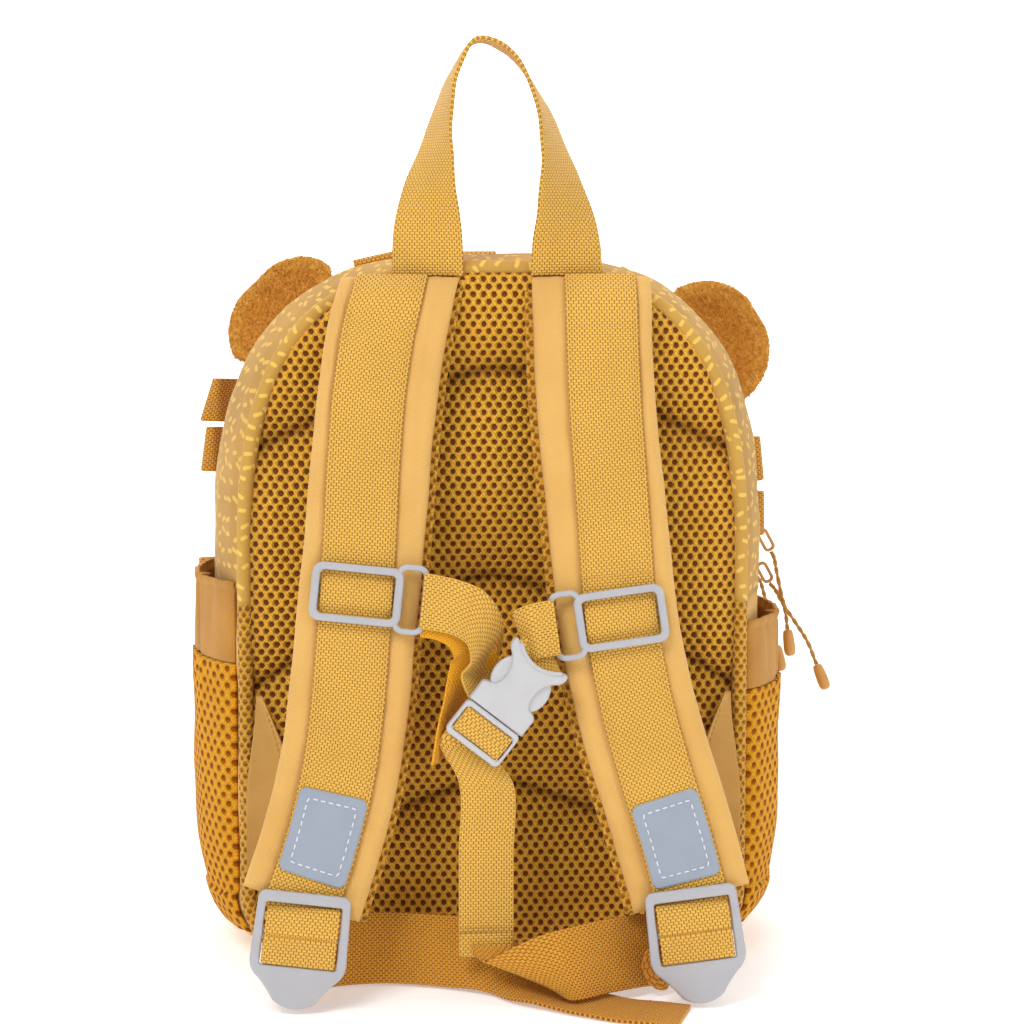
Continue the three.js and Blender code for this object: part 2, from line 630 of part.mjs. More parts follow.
// Chest strap: left webbing from its loop round to the buckle, its hanging tail, and the right one.
function buildChest(left, right) {
  const from = (loop, across, up, out) => loop.place.clone().addScaledVector(loop.across, across * CHEST)
    .addScaledVector(loop.up, up * CHEST).addScaledVector(loop.out, out * CHEST);
  const behind = -LADDER_THICK / 2 - CHEST_THICK / 2 - 1.5 * GAP;
  const over = 1 + CHEST_THICK / 2 + GAP;
  const bar = -BUCKLE_LADDER / 2;
  const round = (way) => [...ROUND_BAR.map(([y, z]) => [y * LADDER_BAR, z * LADDER_THICK]), [GAP, over]]
    .map(([y, z]) => [onBuckle(0, bar + way * y, z), buckleAcross]);
  add('chest_webbing_left', webbing([
    [from(left, -0.05, 0, 0.1), left.up],
    [from(left, 0.14, -0.01, 0.1), left.up],
    [from(left, 0.55, -0.06, 0.17), left.up],
    [from(left, 0.95, -0.22, 0.15), left.up.clone().add(V(0.25, 0, 0))],
    [from(left, 1.18, -0.66, -0.02), V(0.75, 0, 0.75)],
    [from(left, 1.10, -1.20, -0.25), V(0.95, 0, -0.05)],
    [onBuckle(-2, 2, behind - 1.6), V(0.85, 0, -0.4)],
    ...round(1),
  ], CHEST, CHEST_THICK, 22), 'webbing');
  const hang = onBuckle(0, -BUCKLE_LADDER - 2, behind);
  const drop = (share) => V(-0.045 * BODY_HALF, hang.y + 3 * share, hang.z - share * TAIL_LENGTH);
  add('chest_tail', webbing([
    ...round(-1).reverse(),
    [onBuckle(-1, -BUCKLE_LADDER - 1, behind - 0.8), buckleAcross.clone().add(V(0.6, 0, 0.3))],
    [drop(0.16), V(1, 0, -0.06)],
    [drop(0.5), V(1, 0, -0.01)],
    [drop(1), V(1, 0, 0.01)],
  ], CHEST, CHEST_THICK, 16), 'webbing');
  const under = -BUCKLE_THICK / 2 - CHEST_THICK / 2 - GAP;
  add('chest_webbing_right', webbing([
    [from(right, 0.05, 0, 0.1), right.up],
    [from(right, -0.14, 0, 0.1), right.up],
    [from(right, -0.40, -0.02, 0.12), right.up],
    [from(right, -0.60, -0.12, -0.10), right.up.clone().add(V(-0.2, 0, 0))],
    [onBuckle(1, BUCKLE_BODY + 4, under - 3.5), V(-0.4, 0.1, 0.9)],
    [onBuckle(0, BUCKLE_BODY - 5, under - 0.4), buckleAcross.clone().negate()],
  ], CHEST, CHEST_THICK, 12), 'webbing');
}

// A ladder lock hangs from the strap's end. Its own frame: X across, Y up, Z out.
function lockFrame(side) {
  const sign = SIDES[side];
  const end = strapFrame(strapCurve(side), strapEnd);
  const place = end.place.clone().addScaledVector(end.across, sign * WEBBING_SHIFT * end.shift)
    .addScaledVector(end.out, padFace + GAP + WEBBING_THICK + 3 * GAP + LOCK_THICK / 2);
  place.addScaledVector(end.down, -(LOCK_TOP - place.z) / Math.abs(end.down.z));
  const up = V(-sign * 0.12, 0.12, 1).normalize();
  const across = V(1, 0, 0).addScaledVector(up, -up.x).normalize();
  return { place, across, up, out: across.clone().cross(up).normalize() };
}

const lockInner = WEBBING / 2 + 2 * GAP;
const lockHalf = lockInner + LOCK_BAR * 0.8;
const windowTop = -LOCK_BAR - 0.5;
const windowFoot = -LOCK_LENGTH * 0.66;

function buildLock(side) {
  const frame = lockFrame(side);
  const shape = new THREE.Shape();
  shape.moveTo(-lockHalf + 3, 0);
  shape.lineTo(-lockHalf, -3);
  shape.lineTo(-lockHalf - 1, windowFoot);
  shape.quadraticCurveTo(-lockHalf * 0.75, windowFoot - 3, -lockHalf * 0.45, -LOCK_LENGTH + 3);
  shape.quadraticCurveTo(0, -LOCK_LENGTH - 3, lockHalf * 0.45, -LOCK_LENGTH + 3);
  shape.quadraticCurveTo(lockHalf * 0.75, windowFoot - 3, lockHalf + 1, windowFoot);
  shape.lineTo(lockHalf, -3);
  shape.lineTo(lockHalf - 3, 0);
  const hole = roundedBox(-lockInner, lockInner, windowFoot + 1, windowTop, 1, THREE.Path);
  const plateBody = framePlate(shape, [hole], LOCK_THICK, 3);
  const bar = new THREE.BoxGeometry(2 * lockInner + 2, 2.2, 1.6);
  bar.translate(0, (windowTop + windowFoot) / 2, -LOCK_THICK / 2 + 0.8);
  seat(add(`ladder_lock_${side}`, join(plateBody, bar), 'plastic'), frame.place, frame.across, frame.up);
}

// A place in the lock's own frame.
function lockPlace(frame, x, y, z) {
  return frame.place.clone().addScaledVector(frame.across, x).addScaledVector(frame.up, y)
    .addScaledVector(frame.out, z);
}

const behindLock = -LOCK_THICK / 2 - WEBBING_THICK / 2 - GAP;

function buildLockWebbing(side) {
  const frame = lockFrame(side);
  const middle = (windowTop + windowFoot) / 2;
  const end = strapFrame(strapCurve(side), strapEnd);
  const start = end.place.clone().addScaledVector(end.across, SIDES[side] * WEBBING_SHIFT * end.shift)
    .addScaledVector(end.out, padFace + GAP + WEBBING_THICK / 2).addScaledVector(end.down, GAP);
  add(`lock_webbing_${side}`, webbing([
    [start, end.across],
    [lockPlace(frame, 0, windowTop - 2.6, behindLock + 0.2), frame.across],
    [lockPlace(frame, 0, windowTop - 5.5, 0.1), frame.across],
    [lockPlace(frame, 0, middle + 4, 0), frame.across],
    [lockPlace(frame, 0, middle + 2.4, behindLock + 0.4), frame.across],
  ], WEBBING, WEBBING_THICK, 9), 'webbing');
}

// The adjusting webbing: out of the wing, behind the strap, through the lock and along the floor.
// Rows of the free end: sideways as a share of the body's half width, forward of the panel as a
// share of the strap's reach, height of the middle line in webbing widths, and the direction of
// the webbing's width.
const TAIL_ROWS = {
  left: [
    [-0.62, 0.72, 0.54, [0.1, 0.1, 1]],
    [-0.42, 0.50, 0.53, [0, 0.2, 1]],
    [-0.20, 0.62, 0.53, [0, 0.2, 1]],
    [-0.04, 0.76, 0.50, [0, 0.45, 0.9]],
    [0.14, 1.00, 0.16, [0.3, 0.95, 0.12]],
    [0.36, 1.35, 0.05, [0.35, 0.95, 0]],
    [0.60, 1.62, 0.05, [0.3, 0.95, 0]],
  ],
  right: [
    [0.56, 0.86, 0.60, [-0.1, 0.1, 1]],
    [0.38, 1.02, 0.62, [-0.1, 0.3, 0.95]],
    [0.22, 1.22, 0.58, [-0.3, 0.4, 0.85]],
    [0.06, 1.18, 0.46, [-0.9, 0.2, 0.3]],
    [0.02, 1.02, 0.76, [-1, 0, 0.05]],
  ],
};

function buildLowerWebbing(side) {
  const sign = SIDES[side];
  const frame = lockFrame(side);
  const middle = (windowTop + windowFoot) / 2;
  const wingOut = V(sign * (wingRoot - WING_REACH - GAP), wingFace - WING_FOLD - CLOTH,
    lerp(WING_TOP, WING_FOOT, 0.42));
  const rows = [
    [wingOut, V(0.25, 0, sign)],
    [wingOut.clone().lerp(frame.place, 0.3).add(V(-sign * 5, 2, -2)), V(0.6, 0, sign * 0.7)],
    [wingOut.clone().lerp(frame.place, 0.62).add(V(-sign * 2, 6, -15)), V(0.95, 0, sign * 0.2)],
    [lockPlace(frame, 0, middle - 1, -8), frame.across],
    [lockPlace(frame, 0, middle - 3.4, behindLock + 0.6), frame.across],
    [lockPlace(frame, 0, middle - 6, 0.2), frame.across],
    [lockPlace(frame, 0, windowFoot + 4.6, 0.1), frame.across],
    [lockPlace(frame, 0, windowFoot + 2.6, behindLock - 0.2), frame.across],
    [lockPlace(frame, -sign * 5, windowFoot - 1, -6.5), V(0.8, 0.1, -sign * 0.6)],
  ];
  for (const [x, y, z, way] of TAIL_ROWS[side]) {
    rows.push([V(x * BODY_HALF, panelBack - PANEL_THICK - y * STRAP_REACH, z * WEBBING), V(...way)]);
  }
  add(`lower_webbing_${side}`, webbing(rows, WEBBING, WEBBING_THICK, 42), 'webbing');
}

// Handle: one loop of webbing whose faces turn sideways towards the top.
// Columns: share of the half span, share of the rise, and quarter turns made by the webbing.
const HANDLE_ROWS = [
  [-0.96, 0.00, 0.00],
  [-0.96, 0.16, 0.15],
  [-0.93, 0.38, 0.50],
  [-0.80, 0.60, 0.78],
  [-0.58, 0.86, 0.95],
  [-0.27, 1.00, 1.00],
  [0.18, 0.965, 1.00],
  [0.57, 0.81, 0.93],
  [0.90, 0.52, 0.72],
  [1.03, 0.28, 0.40],
  [1.06, 0.12, 0.12],
  [1.06, 0.00, 0.00],
];
const handleFoot = BODY_HEIGHT - TOP_DROP - RIM_RADIUS;
const handlePlane = BODY_BACK - 2 * RIM_RADIUS - GAP - WEBBING_THICK / 2;

function buildHandle() {
  const rows = HANDLE_ROWS.map(([span, rise, turn], i) => {
    const angle = (turn * Math.PI) / 2;
    const sign = i < HANDLE_ROWS.length / 2 ? 1 : -1;
    const place = V(span * HANDLE_HALF, handlePlane, lerp(handleFoot, HANDLE_TOP, rise));
    return [place, V(sign * Math.cos(angle), -Math.sin(angle), 0)];
  });
  add('handle', webbing(rows, WEBBING, WEBBING_THICK, 30), 'webbing');
}

// Depth at which the mane and ears stand, and where the wall under them is widest.
const seamDepth = BODY_FRONT - 4;
const tabDepth = seamDepth - TAB_FOLD / 2 - TAB_THICK;

// Place on the seam round the front panel, at an angle from the middle of the dome's foot.
function seamPlace(degrees) {
  const cut = section(tabDepth);
  const turn = THREE.MathUtils.degToRad(degrees);
  const power = 2 / DOME_POWER;
  const at = (angle) => V(
    Math.sign(Math.cos(angle)) * Math.abs(Math.cos(angle)) ** power * cut.half, cut.y,
    DOME_START + (cut.top - DOME_START) * Math.abs(Math.sin(angle)) ** power);
  const place = at(turn).setY(seamDepth);
  const along = at(turn + 0.05).sub(at(turn - 0.05)).normalize();
  return { place, along, out: V(along.z, 0, -along.x) };
}

// Mane: folded loops of webbing round the front seam. Columns: degrees round the dome, how far the
// loop leans from the dome's slope to level, and how far it stands out as a share of the reach.
const MANE = {
  mane_top_left: [106.5, 0, 0.66],
  mane_top_middle: [90.5, 0, 0.54],
  mane_top_right: [61, 0, 0.6],
  mane_left_upper: [156, 0.9, 1.15],
  mane_left_lower: [167, 0.8, 0.96],
  mane_right_upper: [10.2, 0, 1],
  mane_right_lower: [2.2, 0, 1],
};
const MANE_LOW = { mane_left_foot: { side: 'left', height: 149 } };

// One folded loop standing out from the seam.
function maneTab(name, place, along, out, share = 1) {
  const depth = V(0, 1, 0);
  const at = (reach, fold) => place.clone().addScaledVector(out, reach).addScaledVector(depth, fold);
  const outer = TAB_FOLD / 2;
  const far = TAB_REACH * share;
  const rows = [[GAP, -outer], [far * 0.6, -outer], [far * 0.92, -outer * 0.8], [far, 0],
    [far * 0.92, outer * 0.8], [far * 0.6, outer], [GAP, outer]];
  const line = rows.map(([reach, fold]) => [at(reach, fold), along]);
  add(name, webbing(line, TAB_WIDTH, TAB_THICK, 8), 'webbing');
}

function buildMane() {
  for (const [name, [degrees, lean, share]] of Object.entries(MANE)) {
    const seam = seamPlace(degrees);
    const level = V(Math.sign(seam.out.x), 0, 0);
    maneTab(name, seam.place, seam.along, seam.out.clone().lerp(level, lean).normalize(), share);
  }
  for (const [name, { side, height }] of Object.entries(MANE_LOW)) {
    const half = section(tabDepth).half;
    maneTab(name, V(SIDES[side] * half, seamDepth, height), V(0, 0, 1), V(SIDES[side], 0, 0));
  }
}

// Ear: a half round of plush cupped towards the straps' side, its hollow lined with a smaller piece.
// Rows from the root to the tip: share of the height and share of the width.
const EAR_ROWS = [[0, 0.86], [0.25, 0.98], [0.5, 0.98], [0.72, 0.86], [0.88, 0.64], [0.97, 0.36]];
const EAR_COLUMNS = 8;
const EAR_DEGREES = { left: 132.5, right: 36.5 };
const EAR_TILT = { left: 0.85, right: 0.3 };   // turn away from the straps, in radians

// A sheet over the ear, or over a smaller part of it that starts at lift, a share of the height.
function earGrid(frame, level, scale = 1, lift = 0) {
  return EAR_ROWS.map(([row, wide]) => Array.from({ length: EAR_COLUMNS + 1 }, (_, j) => {
    const up = lift + row * scale;
    const reach = scale * wide * ((2 * j) / EAR_COLUMNS - 1);
    const across = reach / between(EAR_ROWS, up)[1];
    const cup = EAR_CUP * (1 - across * across) * Math.sin(Math.PI * Math.min(1, 0.04 + 0.8 * up));
    return frame.place.clone()
      .addScaledVector(frame.along, reach * (EAR_WIDTH / 2))
      .addScaledVector(frame.rise, up * EAR_HEIGHT)
      .addScaledVector(frame.face, level(across, up) - cup);
  }));
}

function buildEar(side) {
  const seam = seamPlace(EAR_DEGREES[side]);
  const tilt = EAR_TILT[side];
  const depth = V(0, 1, 0);
  const rise = seam.out.clone().multiplyScalar(Math.cos(tilt)).addScaledVector(depth, Math.sin(tilt));
  const face = depth.clone().multiplyScalar(-Math.cos(tilt)).addScaledVector(seam.out, Math.sin(tilt));
  const place = seam.place.clone().add(V(0, -EAR_CUP / 2, 0)).addScaledVector(rise, EAR_SEAT[side]);
  const frame = { along: seam.along, rise, face, place };
  const half = (across, up) => (EAR_THICK / 2) * (1 - 0.7 * Math.max(Math.abs(across) ** 4, up ** 4));
  add(`ear_${side}`, shell(earGrid(frame, half), earGrid(frame, (a, u) => -half(a, u))), 'plush');
  const on = (across, up) => half(across, up) + 3 * GAP;
  const lining = [0.68, 0.2];
  add(`ear_lining_${side}`, shell(earGrid(frame, (a, u) => on(a, u) + EAR_LINING, ...lining),
    earGrid(frame, on, ...lining)), 'rust');
}

const POCKET_COLUMNS = 10;
const POCKET_ROWS = 7;

// Side pocket: cloth standing off the side wall, open at its top. Rows: heights and fullness.
function pocketWall(side, heights, fullness, gather = 0) {
  const sign = SIDES[side];
  const grid = (inset) => heights.map((z, i) => Array.from({ length: POCKET_COLUMNS + 1 }, (_, j) => {
    const share = j / POCKET_COLUMNS;
    const y = lerp(POCKET_BACK, POCKET_FRONT, share);
    const cut = section(y);
    const full = Math.sin(Math.PI * share) ** 0.55 * fullness(i / (heights.length - 1));
    const ease = z < cut.base + CORNER ? POCKET_EASE : 0;
    const reach = Math.min(cut.half, halfAt(z, cut.half, cut.base, BODY_HEIGHT, CORNER)) + ease;
    const fold = gather * (i / (heights.length - 1)) * Math.sin(share * Math.PI) * Math.cos(j * Math.PI);
    return V(sign * (reach + GAP + POCKET_CLOTH + POCKET_BULGE * full + fold - inset), y, z);
  }));
  return shell(grid(0), grid(POCKET_CLOTH));
}

function buildPocket(side) {
  const [low, high] = BAND_HEIGHTS[side];
  const row = (i) => lerp(POCKET_FOOT, low - GAP, i / POCKET_ROWS);
  const rows = Array.from({ length: POCKET_ROWS + 1 }, (_, i) => row(i));
  const belly = (share) => Math.sin(Math.min(1, share * 2.2 + 0.02) * (Math.PI / 2));
  add(`pocket_mesh_${side}`, pocketWall(side, rows, belly), 'mesh');
  const full = (share) => 0.84 + 0.06 * Math.cos(share * Math.PI);
  const band = [low, (low + high) / 2, high];
  add(`pocket_band_${side}`, pocketWall(side, band, full, POCKET_GATHER), 'plain');
}

// Wing: the folded triangle of cloth at the lower side seam that holds the adjusting webbing.
const wingFace = panelBack - PANEL_THICK / 2 - 2 * GAP;
const wingRoot = panelHalf - GAP;

function buildWing(side) {
  const sign = SIDES[side];
  const root = sign * wingRoot;
  const rows = [[WING_TOP, 0.12], [lerp(WING_TOP, WING_FOOT, 0.3), 0.75],
    [lerp(WING_TOP, WING_FOOT, 0.55), 1], [lerp(WING_TOP, WING_FOOT, 0.8), 0.6], [WING_FOOT, 0.15]];
  const grid = (level) => rows.map(([z, reach]) => [0, 0.5, 1].map((share) =>
    V(root - sign * share * reach * WING_REACH, wingFace - share * WING_FOLD * reach - level, z)));
  add(`wing_${side}`, shell(grid(CLOTH), grid(0)), 'plain');
}

// Zip sliders, their rings, short cords and moulded grips. Depth, height, length of the ring, and
// the places that the cord follows from the ring, in millimetres chosen by hand.
const ZIP_PULLS = [
  { y: 17, z: 172, ring: 11, cord: [[1, -1, -2], [2, -3, -8], [4, -4, -18], [6, -4, -26], [7, -4, -34]] },
  { y: 17, z: 157, ring: 10, cord: [[2, 0, -2], [6, 0, -9], [12, 0, -18], [17, -1, -26], [21, -2, -36]] },
  { y: 38, z: 157, ring: 9, cord: [[2, 0, -2], [4, 0, -8], [6, 0, -15], [8, 0, -23], [10, 0, -32]] },
];
const RING_SWING = 0.5;           // the rings hang pushed outwards, in radians
const CORD_STEPS = 8;

function buildZipPull(number, { y, z, ring, cord }) {
  const length = ZIP_SLIDER * 1.65;
  const thick = ZIP_SLIDER * 0.36;
  const surface = Math.max(section(y - length / 2).half, section(y + length / 2).half) + GAP;
  const half = ZIP_SLIDER / 2;
  const body = framePlate(roundedBox(-half, half, -length / 2, length / 2, half * 0.7), [], thick);
  body.rotateY(Math.PI / 2);
  const slider = add(`zip_slider_${number}`, body, 'zip');
  slider.position.set(surface + thick / 2, y, z);
  const outline = roundedBox(-RING_WIDTH / 2, RING_WIDTH / 2, -ring, 0, RING_WIDTH * 0.42);
  const hole = roundedBox(RING_BAR - RING_WIDTH / 2, RING_WIDTH / 2 - RING_BAR, RING_BAR - ring, -RING_BAR,
    RING_BAR * 0.8, THREE.Path);
  const loop = add(`zip_ring_${number}`, framePlate(outline, [hole], RING_BAR * 1.4), 'zip');
  loop.geometry.rotateX(Math.PI / 2).rotateY(-RING_SWING);
  const beside = ((RING_WIDTH - RING_BAR) / 2) * Math.cos(RING_SWING);
  const hangs = V(surface + thick + beside, y, z + 2);
  loop.position.copy(hangs);
  const clear = CORD_RADIUS / 2 + GAP;
  const foot = hangs.clone().add(V(ring * Math.sin(RING_SWING), 0, -ring * Math.cos(RING_SWING) - clear));
  const places = [V(0, 0, 0), ...cord.map(([a, b, c]) => V(a, b, c))].map((p) => p.add(foot));
  const line = new THREE.CatmullRomCurve3(places, false, 'centripetal');
  const path = Array.from({ length: CORD_STEPS + 1 }, (_, i) => line.getPoint(i / CORD_STEPS));
  add(`zip_cord_${number}`, sweep(path, roundSection(CORD_RADIUS, 8), V(0, 1, 0)), 'zip');
  const end = path[path.length - 1];
  const along = end.clone().sub(path[path.length - 2]).normalize();
  const profile = [[0, GAP], [0.72, GAP], [0.86, 1.2], [1, GRIP_LENGTH * 0.75],
    [0.75, GRIP_LENGTH * 0.95], [0, GRIP_LENGTH]];
  const grip = new THREE.LatheGeometry(profile.map(([r, h]) => new THREE.Vector2(r * GRIP_RADIUS, h)), 10);
  const gripMesh = add(`zip_grip_${number}`, grip, 'zip');
  gripMesh.quaternion.setFromUnitVectors(V(0, 1, 0), along);
  gripMesh.position.copy(end);
}

buildBody();
for (const side of Object.keys(SIDES)) {
  buildStrap(side);
  buildLock(side);
  buildLockWebbing(side);
  buildLowerWebbing(side);
  buildEar(side);
  buildPocket(side);
  buildWing(side);
}
buildChest(buildSlider('left'), buildSlider('right'));
buildBuckle();
buildHandle();
buildMane();
ZIP_PULLS.forEach((pull, i) => buildZipPull(i + 1, pull));

export default bag;
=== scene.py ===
"""Looks of the children's backpack: cloth, padded mesh, webbing, plush and moulded plastic round the
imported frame. Sizes are in millimetres, turned to metres where a mesh is made."""

import math

import bmesh
import bpy
import numpy as np
from mathutils import Matrix, Vector, noise


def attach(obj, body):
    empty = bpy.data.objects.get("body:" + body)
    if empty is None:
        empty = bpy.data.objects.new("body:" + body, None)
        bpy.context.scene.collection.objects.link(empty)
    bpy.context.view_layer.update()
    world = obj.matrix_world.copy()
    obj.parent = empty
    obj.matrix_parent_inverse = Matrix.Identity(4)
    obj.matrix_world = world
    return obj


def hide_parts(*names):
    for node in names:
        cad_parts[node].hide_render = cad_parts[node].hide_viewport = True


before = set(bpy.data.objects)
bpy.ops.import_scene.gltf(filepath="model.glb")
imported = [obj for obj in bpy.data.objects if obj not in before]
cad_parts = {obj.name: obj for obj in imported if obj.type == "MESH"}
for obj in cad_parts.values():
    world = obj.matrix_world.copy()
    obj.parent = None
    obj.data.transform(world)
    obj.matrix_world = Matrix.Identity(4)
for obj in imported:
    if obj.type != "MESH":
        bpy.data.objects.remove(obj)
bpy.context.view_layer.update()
scene = bpy.context.scene
MM = 0.001

# Sizes shared with the frame.
BODY_HEIGHT = 296
BODY_HALF = 117.5
PANEL_EDGE_HALF = 102.5
FRONT_EDGE_HALF = 108
BODY_BACK = -54
BODY_FRONT = 52
DOME_START = 165
DOME_POWER = 2.85
CORNER = 26
BASE_LIFT = 5
TOP_DROP = 5
FRONT_DROP = 12
CLOTH = 2
GAP = 0.3
PANEL_THICK = 7
PANEL_CROWN = 3
RIM_RADIUS = 3.2
SEAM_HEIGHT = 153
ZIP_START = 11
ZIP_END = 23
FRONT_DOME = 8
STRAP_WIDTH = 48
STRAP_THICK = 8
STRAP_REACH = 49
MESH_THICK = 2.4
MESH_SHIFT = 4
WEBBING = 29
WEBBING_THICK = 1.6
WEBBING_SHIFT = 3.5
PATCH_WIDTH = 27.5
PATCH_LENGTH = 33
PATCH_THICK = 0.9
PATCH_HEIGHTS = {"left": 68, "right": 65}
CHEST = 22
CHEST_THICK = 1.3
SLIDER_LENGTH = 23.5
SLIDER_BAR = 3.1
SLIDER_THICK = 2.6
SLIDER_HEIGHTS = {"left": 162, "right": 152}
LOOP_REACH = 10
HIDDEN_BAR = 1.7
LIFT_LENGTH = 8
BUCKLE_WIDTH = 26
BUCKLE_THICK = 6.4
BUCKLE_BODY = 30
BUCKLE_LADDER = 16
LADDER_THICK = 4.4
LADDER_BAR = 2.4
BUCKLE_ANGLE = math.radians(52)
BUCKLE_PLACE = (-2, -112, 115.5)
TAIL_LENGTH = 84
LOCK_LENGTH = 46
LOCK_BAR = 4
LOCK_THICK = 3
LOCK_TOP = 47.5
HANDLE_TOP = 382
HANDLE_HALF = 28
SIDES = {"left": -1, "right": 1}


def vec(*xyz):
    return np.array(xyz, float)


def unit(v):
    return v / np.linalg.norm(v)


def lerp(a, b, t):
    return a + (b - a) * t


def clamp(x, low=0.0, high=1.0):
    return np.minimum(np.maximum(x, low), high)


def smooth(x, low, high):
    t = clamp((x - low) / (high - low))
    return t * t * (3 - 2 * t)


# Camera.
AZIMUTH, ELEVATION, DISTANCE = math.radians(-3), math.radians(6.5), 1.1
TARGET = Vector((0.0075, -0.060, 0.191))
camera_data = bpy.data.cameras.new("camera")
camera = bpy.data.objects.new("camera", camera_data)
scene.collection.objects.link(camera)
away = Vector((math.sin(AZIMUTH) * math.cos(ELEVATION), -math.cos(AZIMUTH) * math.cos(ELEVATION),
               math.sin(ELEVATION)))
camera.location = TARGET + away * DISTANCE
camera.rotation_euler = away.to_track_quat("Z", "Y").to_euler()
camera_data.sensor_width = 36
camera_data.lens = 94
camera_data.clip_end = 50
scene.camera = camera


# Curves, as the frame draws them.
def curve(points):
    """Smooth line through points, evenly stepped from point to point: t runs from 0 to 1."""
    points = [np.asarray(p, float) for p in points]
    last = len(points) - 1

    def knot(a, b):
        return float(np.sum((a - b) ** 2)) ** 0.25

    def at(t):
        place = min(max(t, 0.0), 1.0) * last
        i = min(int(place), last - 1)
        w = place - i
        p1, p2 = points[i], points[i + 1]
        p0 = points[i - 1] if i else 2 * p1 - p2
        p3 = points[i + 2] if i + 2 <= last else 2 * p2 - p1
        d1 = knot(p1, p2)
        if d1 < 1e-4:
            d1 = 1.0
        d0, d2 = knot(p0, p1), knot(p2, p3)
        d0 = d1 if d0 < 1e-4 else d0
        d2 = d1 if d2 < 1e-4 else d2
        a = ((p1 - p0) / d0 - (p2 - p0) / (d0 + d1) + (p2 - p1) / d1) * d1
        b = ((p2 - p1) / d1 - (p3 - p1) / (d1 + d2) + (p3 - p2) / d2) * d1
        return p1 + a * w + (-3 * p1 + 3 * p2 - 2 * a - b) * w * w + (2 * p1 - 2 * p2 + a + b) * w ** 3

    return at


def tangent(line, t):
    return unit(line(min(1, t + 1e-4)) - line(max(0, t - 1e-4)))


def run_along(path):
    """Length from the first place to each place of a path."""
    return np.concatenate([[0], np.cumsum(np.linalg.norm(np.diff(path, axis=0), axis=1))])


def between(rows, share):
    keys = [row[0] for row in rows]
    at = min(max(share, keys[0]), keys[-1])
    return [float(np.interp(at, keys, [row[i] for row in rows])) for i in range(len(rows[0]))]


# Meshes.
def mesh_object(name, points, faces, uv=None, smooth_faces=True):
    """Object from points in millimetres. uv gives a place in millimetres for each point."""
    data = bpy.data.meshes.new(name)
    data.from_pydata((np.asarray(points, float) * MM).tolist(), [], faces)
    data.validate()
    if uv is not None:
        layer = data.uv_layers.new(name="mm")
        loops = np.zeros(len(data.loops), int)
        data.loops.foreach_get("vertex_index", loops)
        layer.data.foreach_set("uv", np.asarray(uv, np.float32)[loops].ravel())
    data.polygons.foreach_set("use_smooth", [smooth_faces] * len(data.polygons))
    data.update()
    obj = bpy.data.objects.new(name, data)
    scene.collection.objects.link(obj)
    return obj


def darken(obj, shares):
    """Share of painted shade, from 0 to 1, on each point: the materials darken their colour by it, as shade
    in deep folds and shadowed places.
    """
    layer = obj.data.attributes.new("shade", "FLOAT", "POINT")
    layer.data.foreach_set("value", np.clip(np.asarray(shares, np.float32), 0, 1))
    return obj


def outward(obj):
    made = bmesh.new()
    made.from_mesh(obj.data)
    bmesh.ops.recalc_face_normals(made, faces=made.faces)
    made.to_mesh(obj.data)
    made.free()
    return obj


def grid_faces(rows, columns, start=0, wrap=False):
    faces = []
    wide = columns if wrap else columns - 1
    for i in range(rows - 1):
        for j in range(wide):
            k = (j + 1) % columns
            faces.append((start + i * columns + j, start + i * columns + k,
                          start + (i + 1) * columns + k, start + (i + 1) * columns + j))
    return faces


def slab(name, outer, inner, uv):
    """Closed sheet between two grids of points (rows, columns, 3), with one uv grid for both."""
    rows, columns = outer.shape[:2]
    count = rows * columns
    points = np.concatenate([outer.reshape(-1, 3), inner.reshape(-1, 3)])
    faces = grid_faces(rows, columns) + [f[::-1] for f in grid_faces(rows, columns, count)]
    ring = [(0, j) for j in range(columns)] + [(i, columns - 1) for i in range(1, rows)]
    ring += [(rows - 1, j) for j in range(columns - 2, -1, -1)] + [(i, 0) for i in range(rows - 2, 0, -1)]
    ids = [i * columns + j for i, j in ring]
    for a, b in zip(ids, ids[1:] + ids[:1]):
        faces.append((b, a, a + count, b + count))
    uv = uv.reshape(-1, 2)
    return outward(mesh_object(name, points, faces, np.concatenate([uv, uv])))


def layered(name, rows, columns, at):
    """Closed sheet from a function that gives the front, back and mark of each row and column."""
    grid = [[at(row, column) for column in columns] for row in rows]
    front, back, marks = (np.array([[cell[i] for cell in line] for line in grid]) for i in range(3))
    return slab(name, front, back, marks)


def round_off(inside, radius):
    """Height from 0 to 1 of a rounded edge, at a distance inside it."""
    return math.sqrt(max(0, 1 - (1 - min(1, inside / radius)) ** 2))


def spread(count, share):
    """Places from -1 to 1 that lie closer together near the ends."""
    return np.sin(np.linspace(-1, 1, count) * math.pi / 2 * share) / math.sin(math.pi / 2 * share)


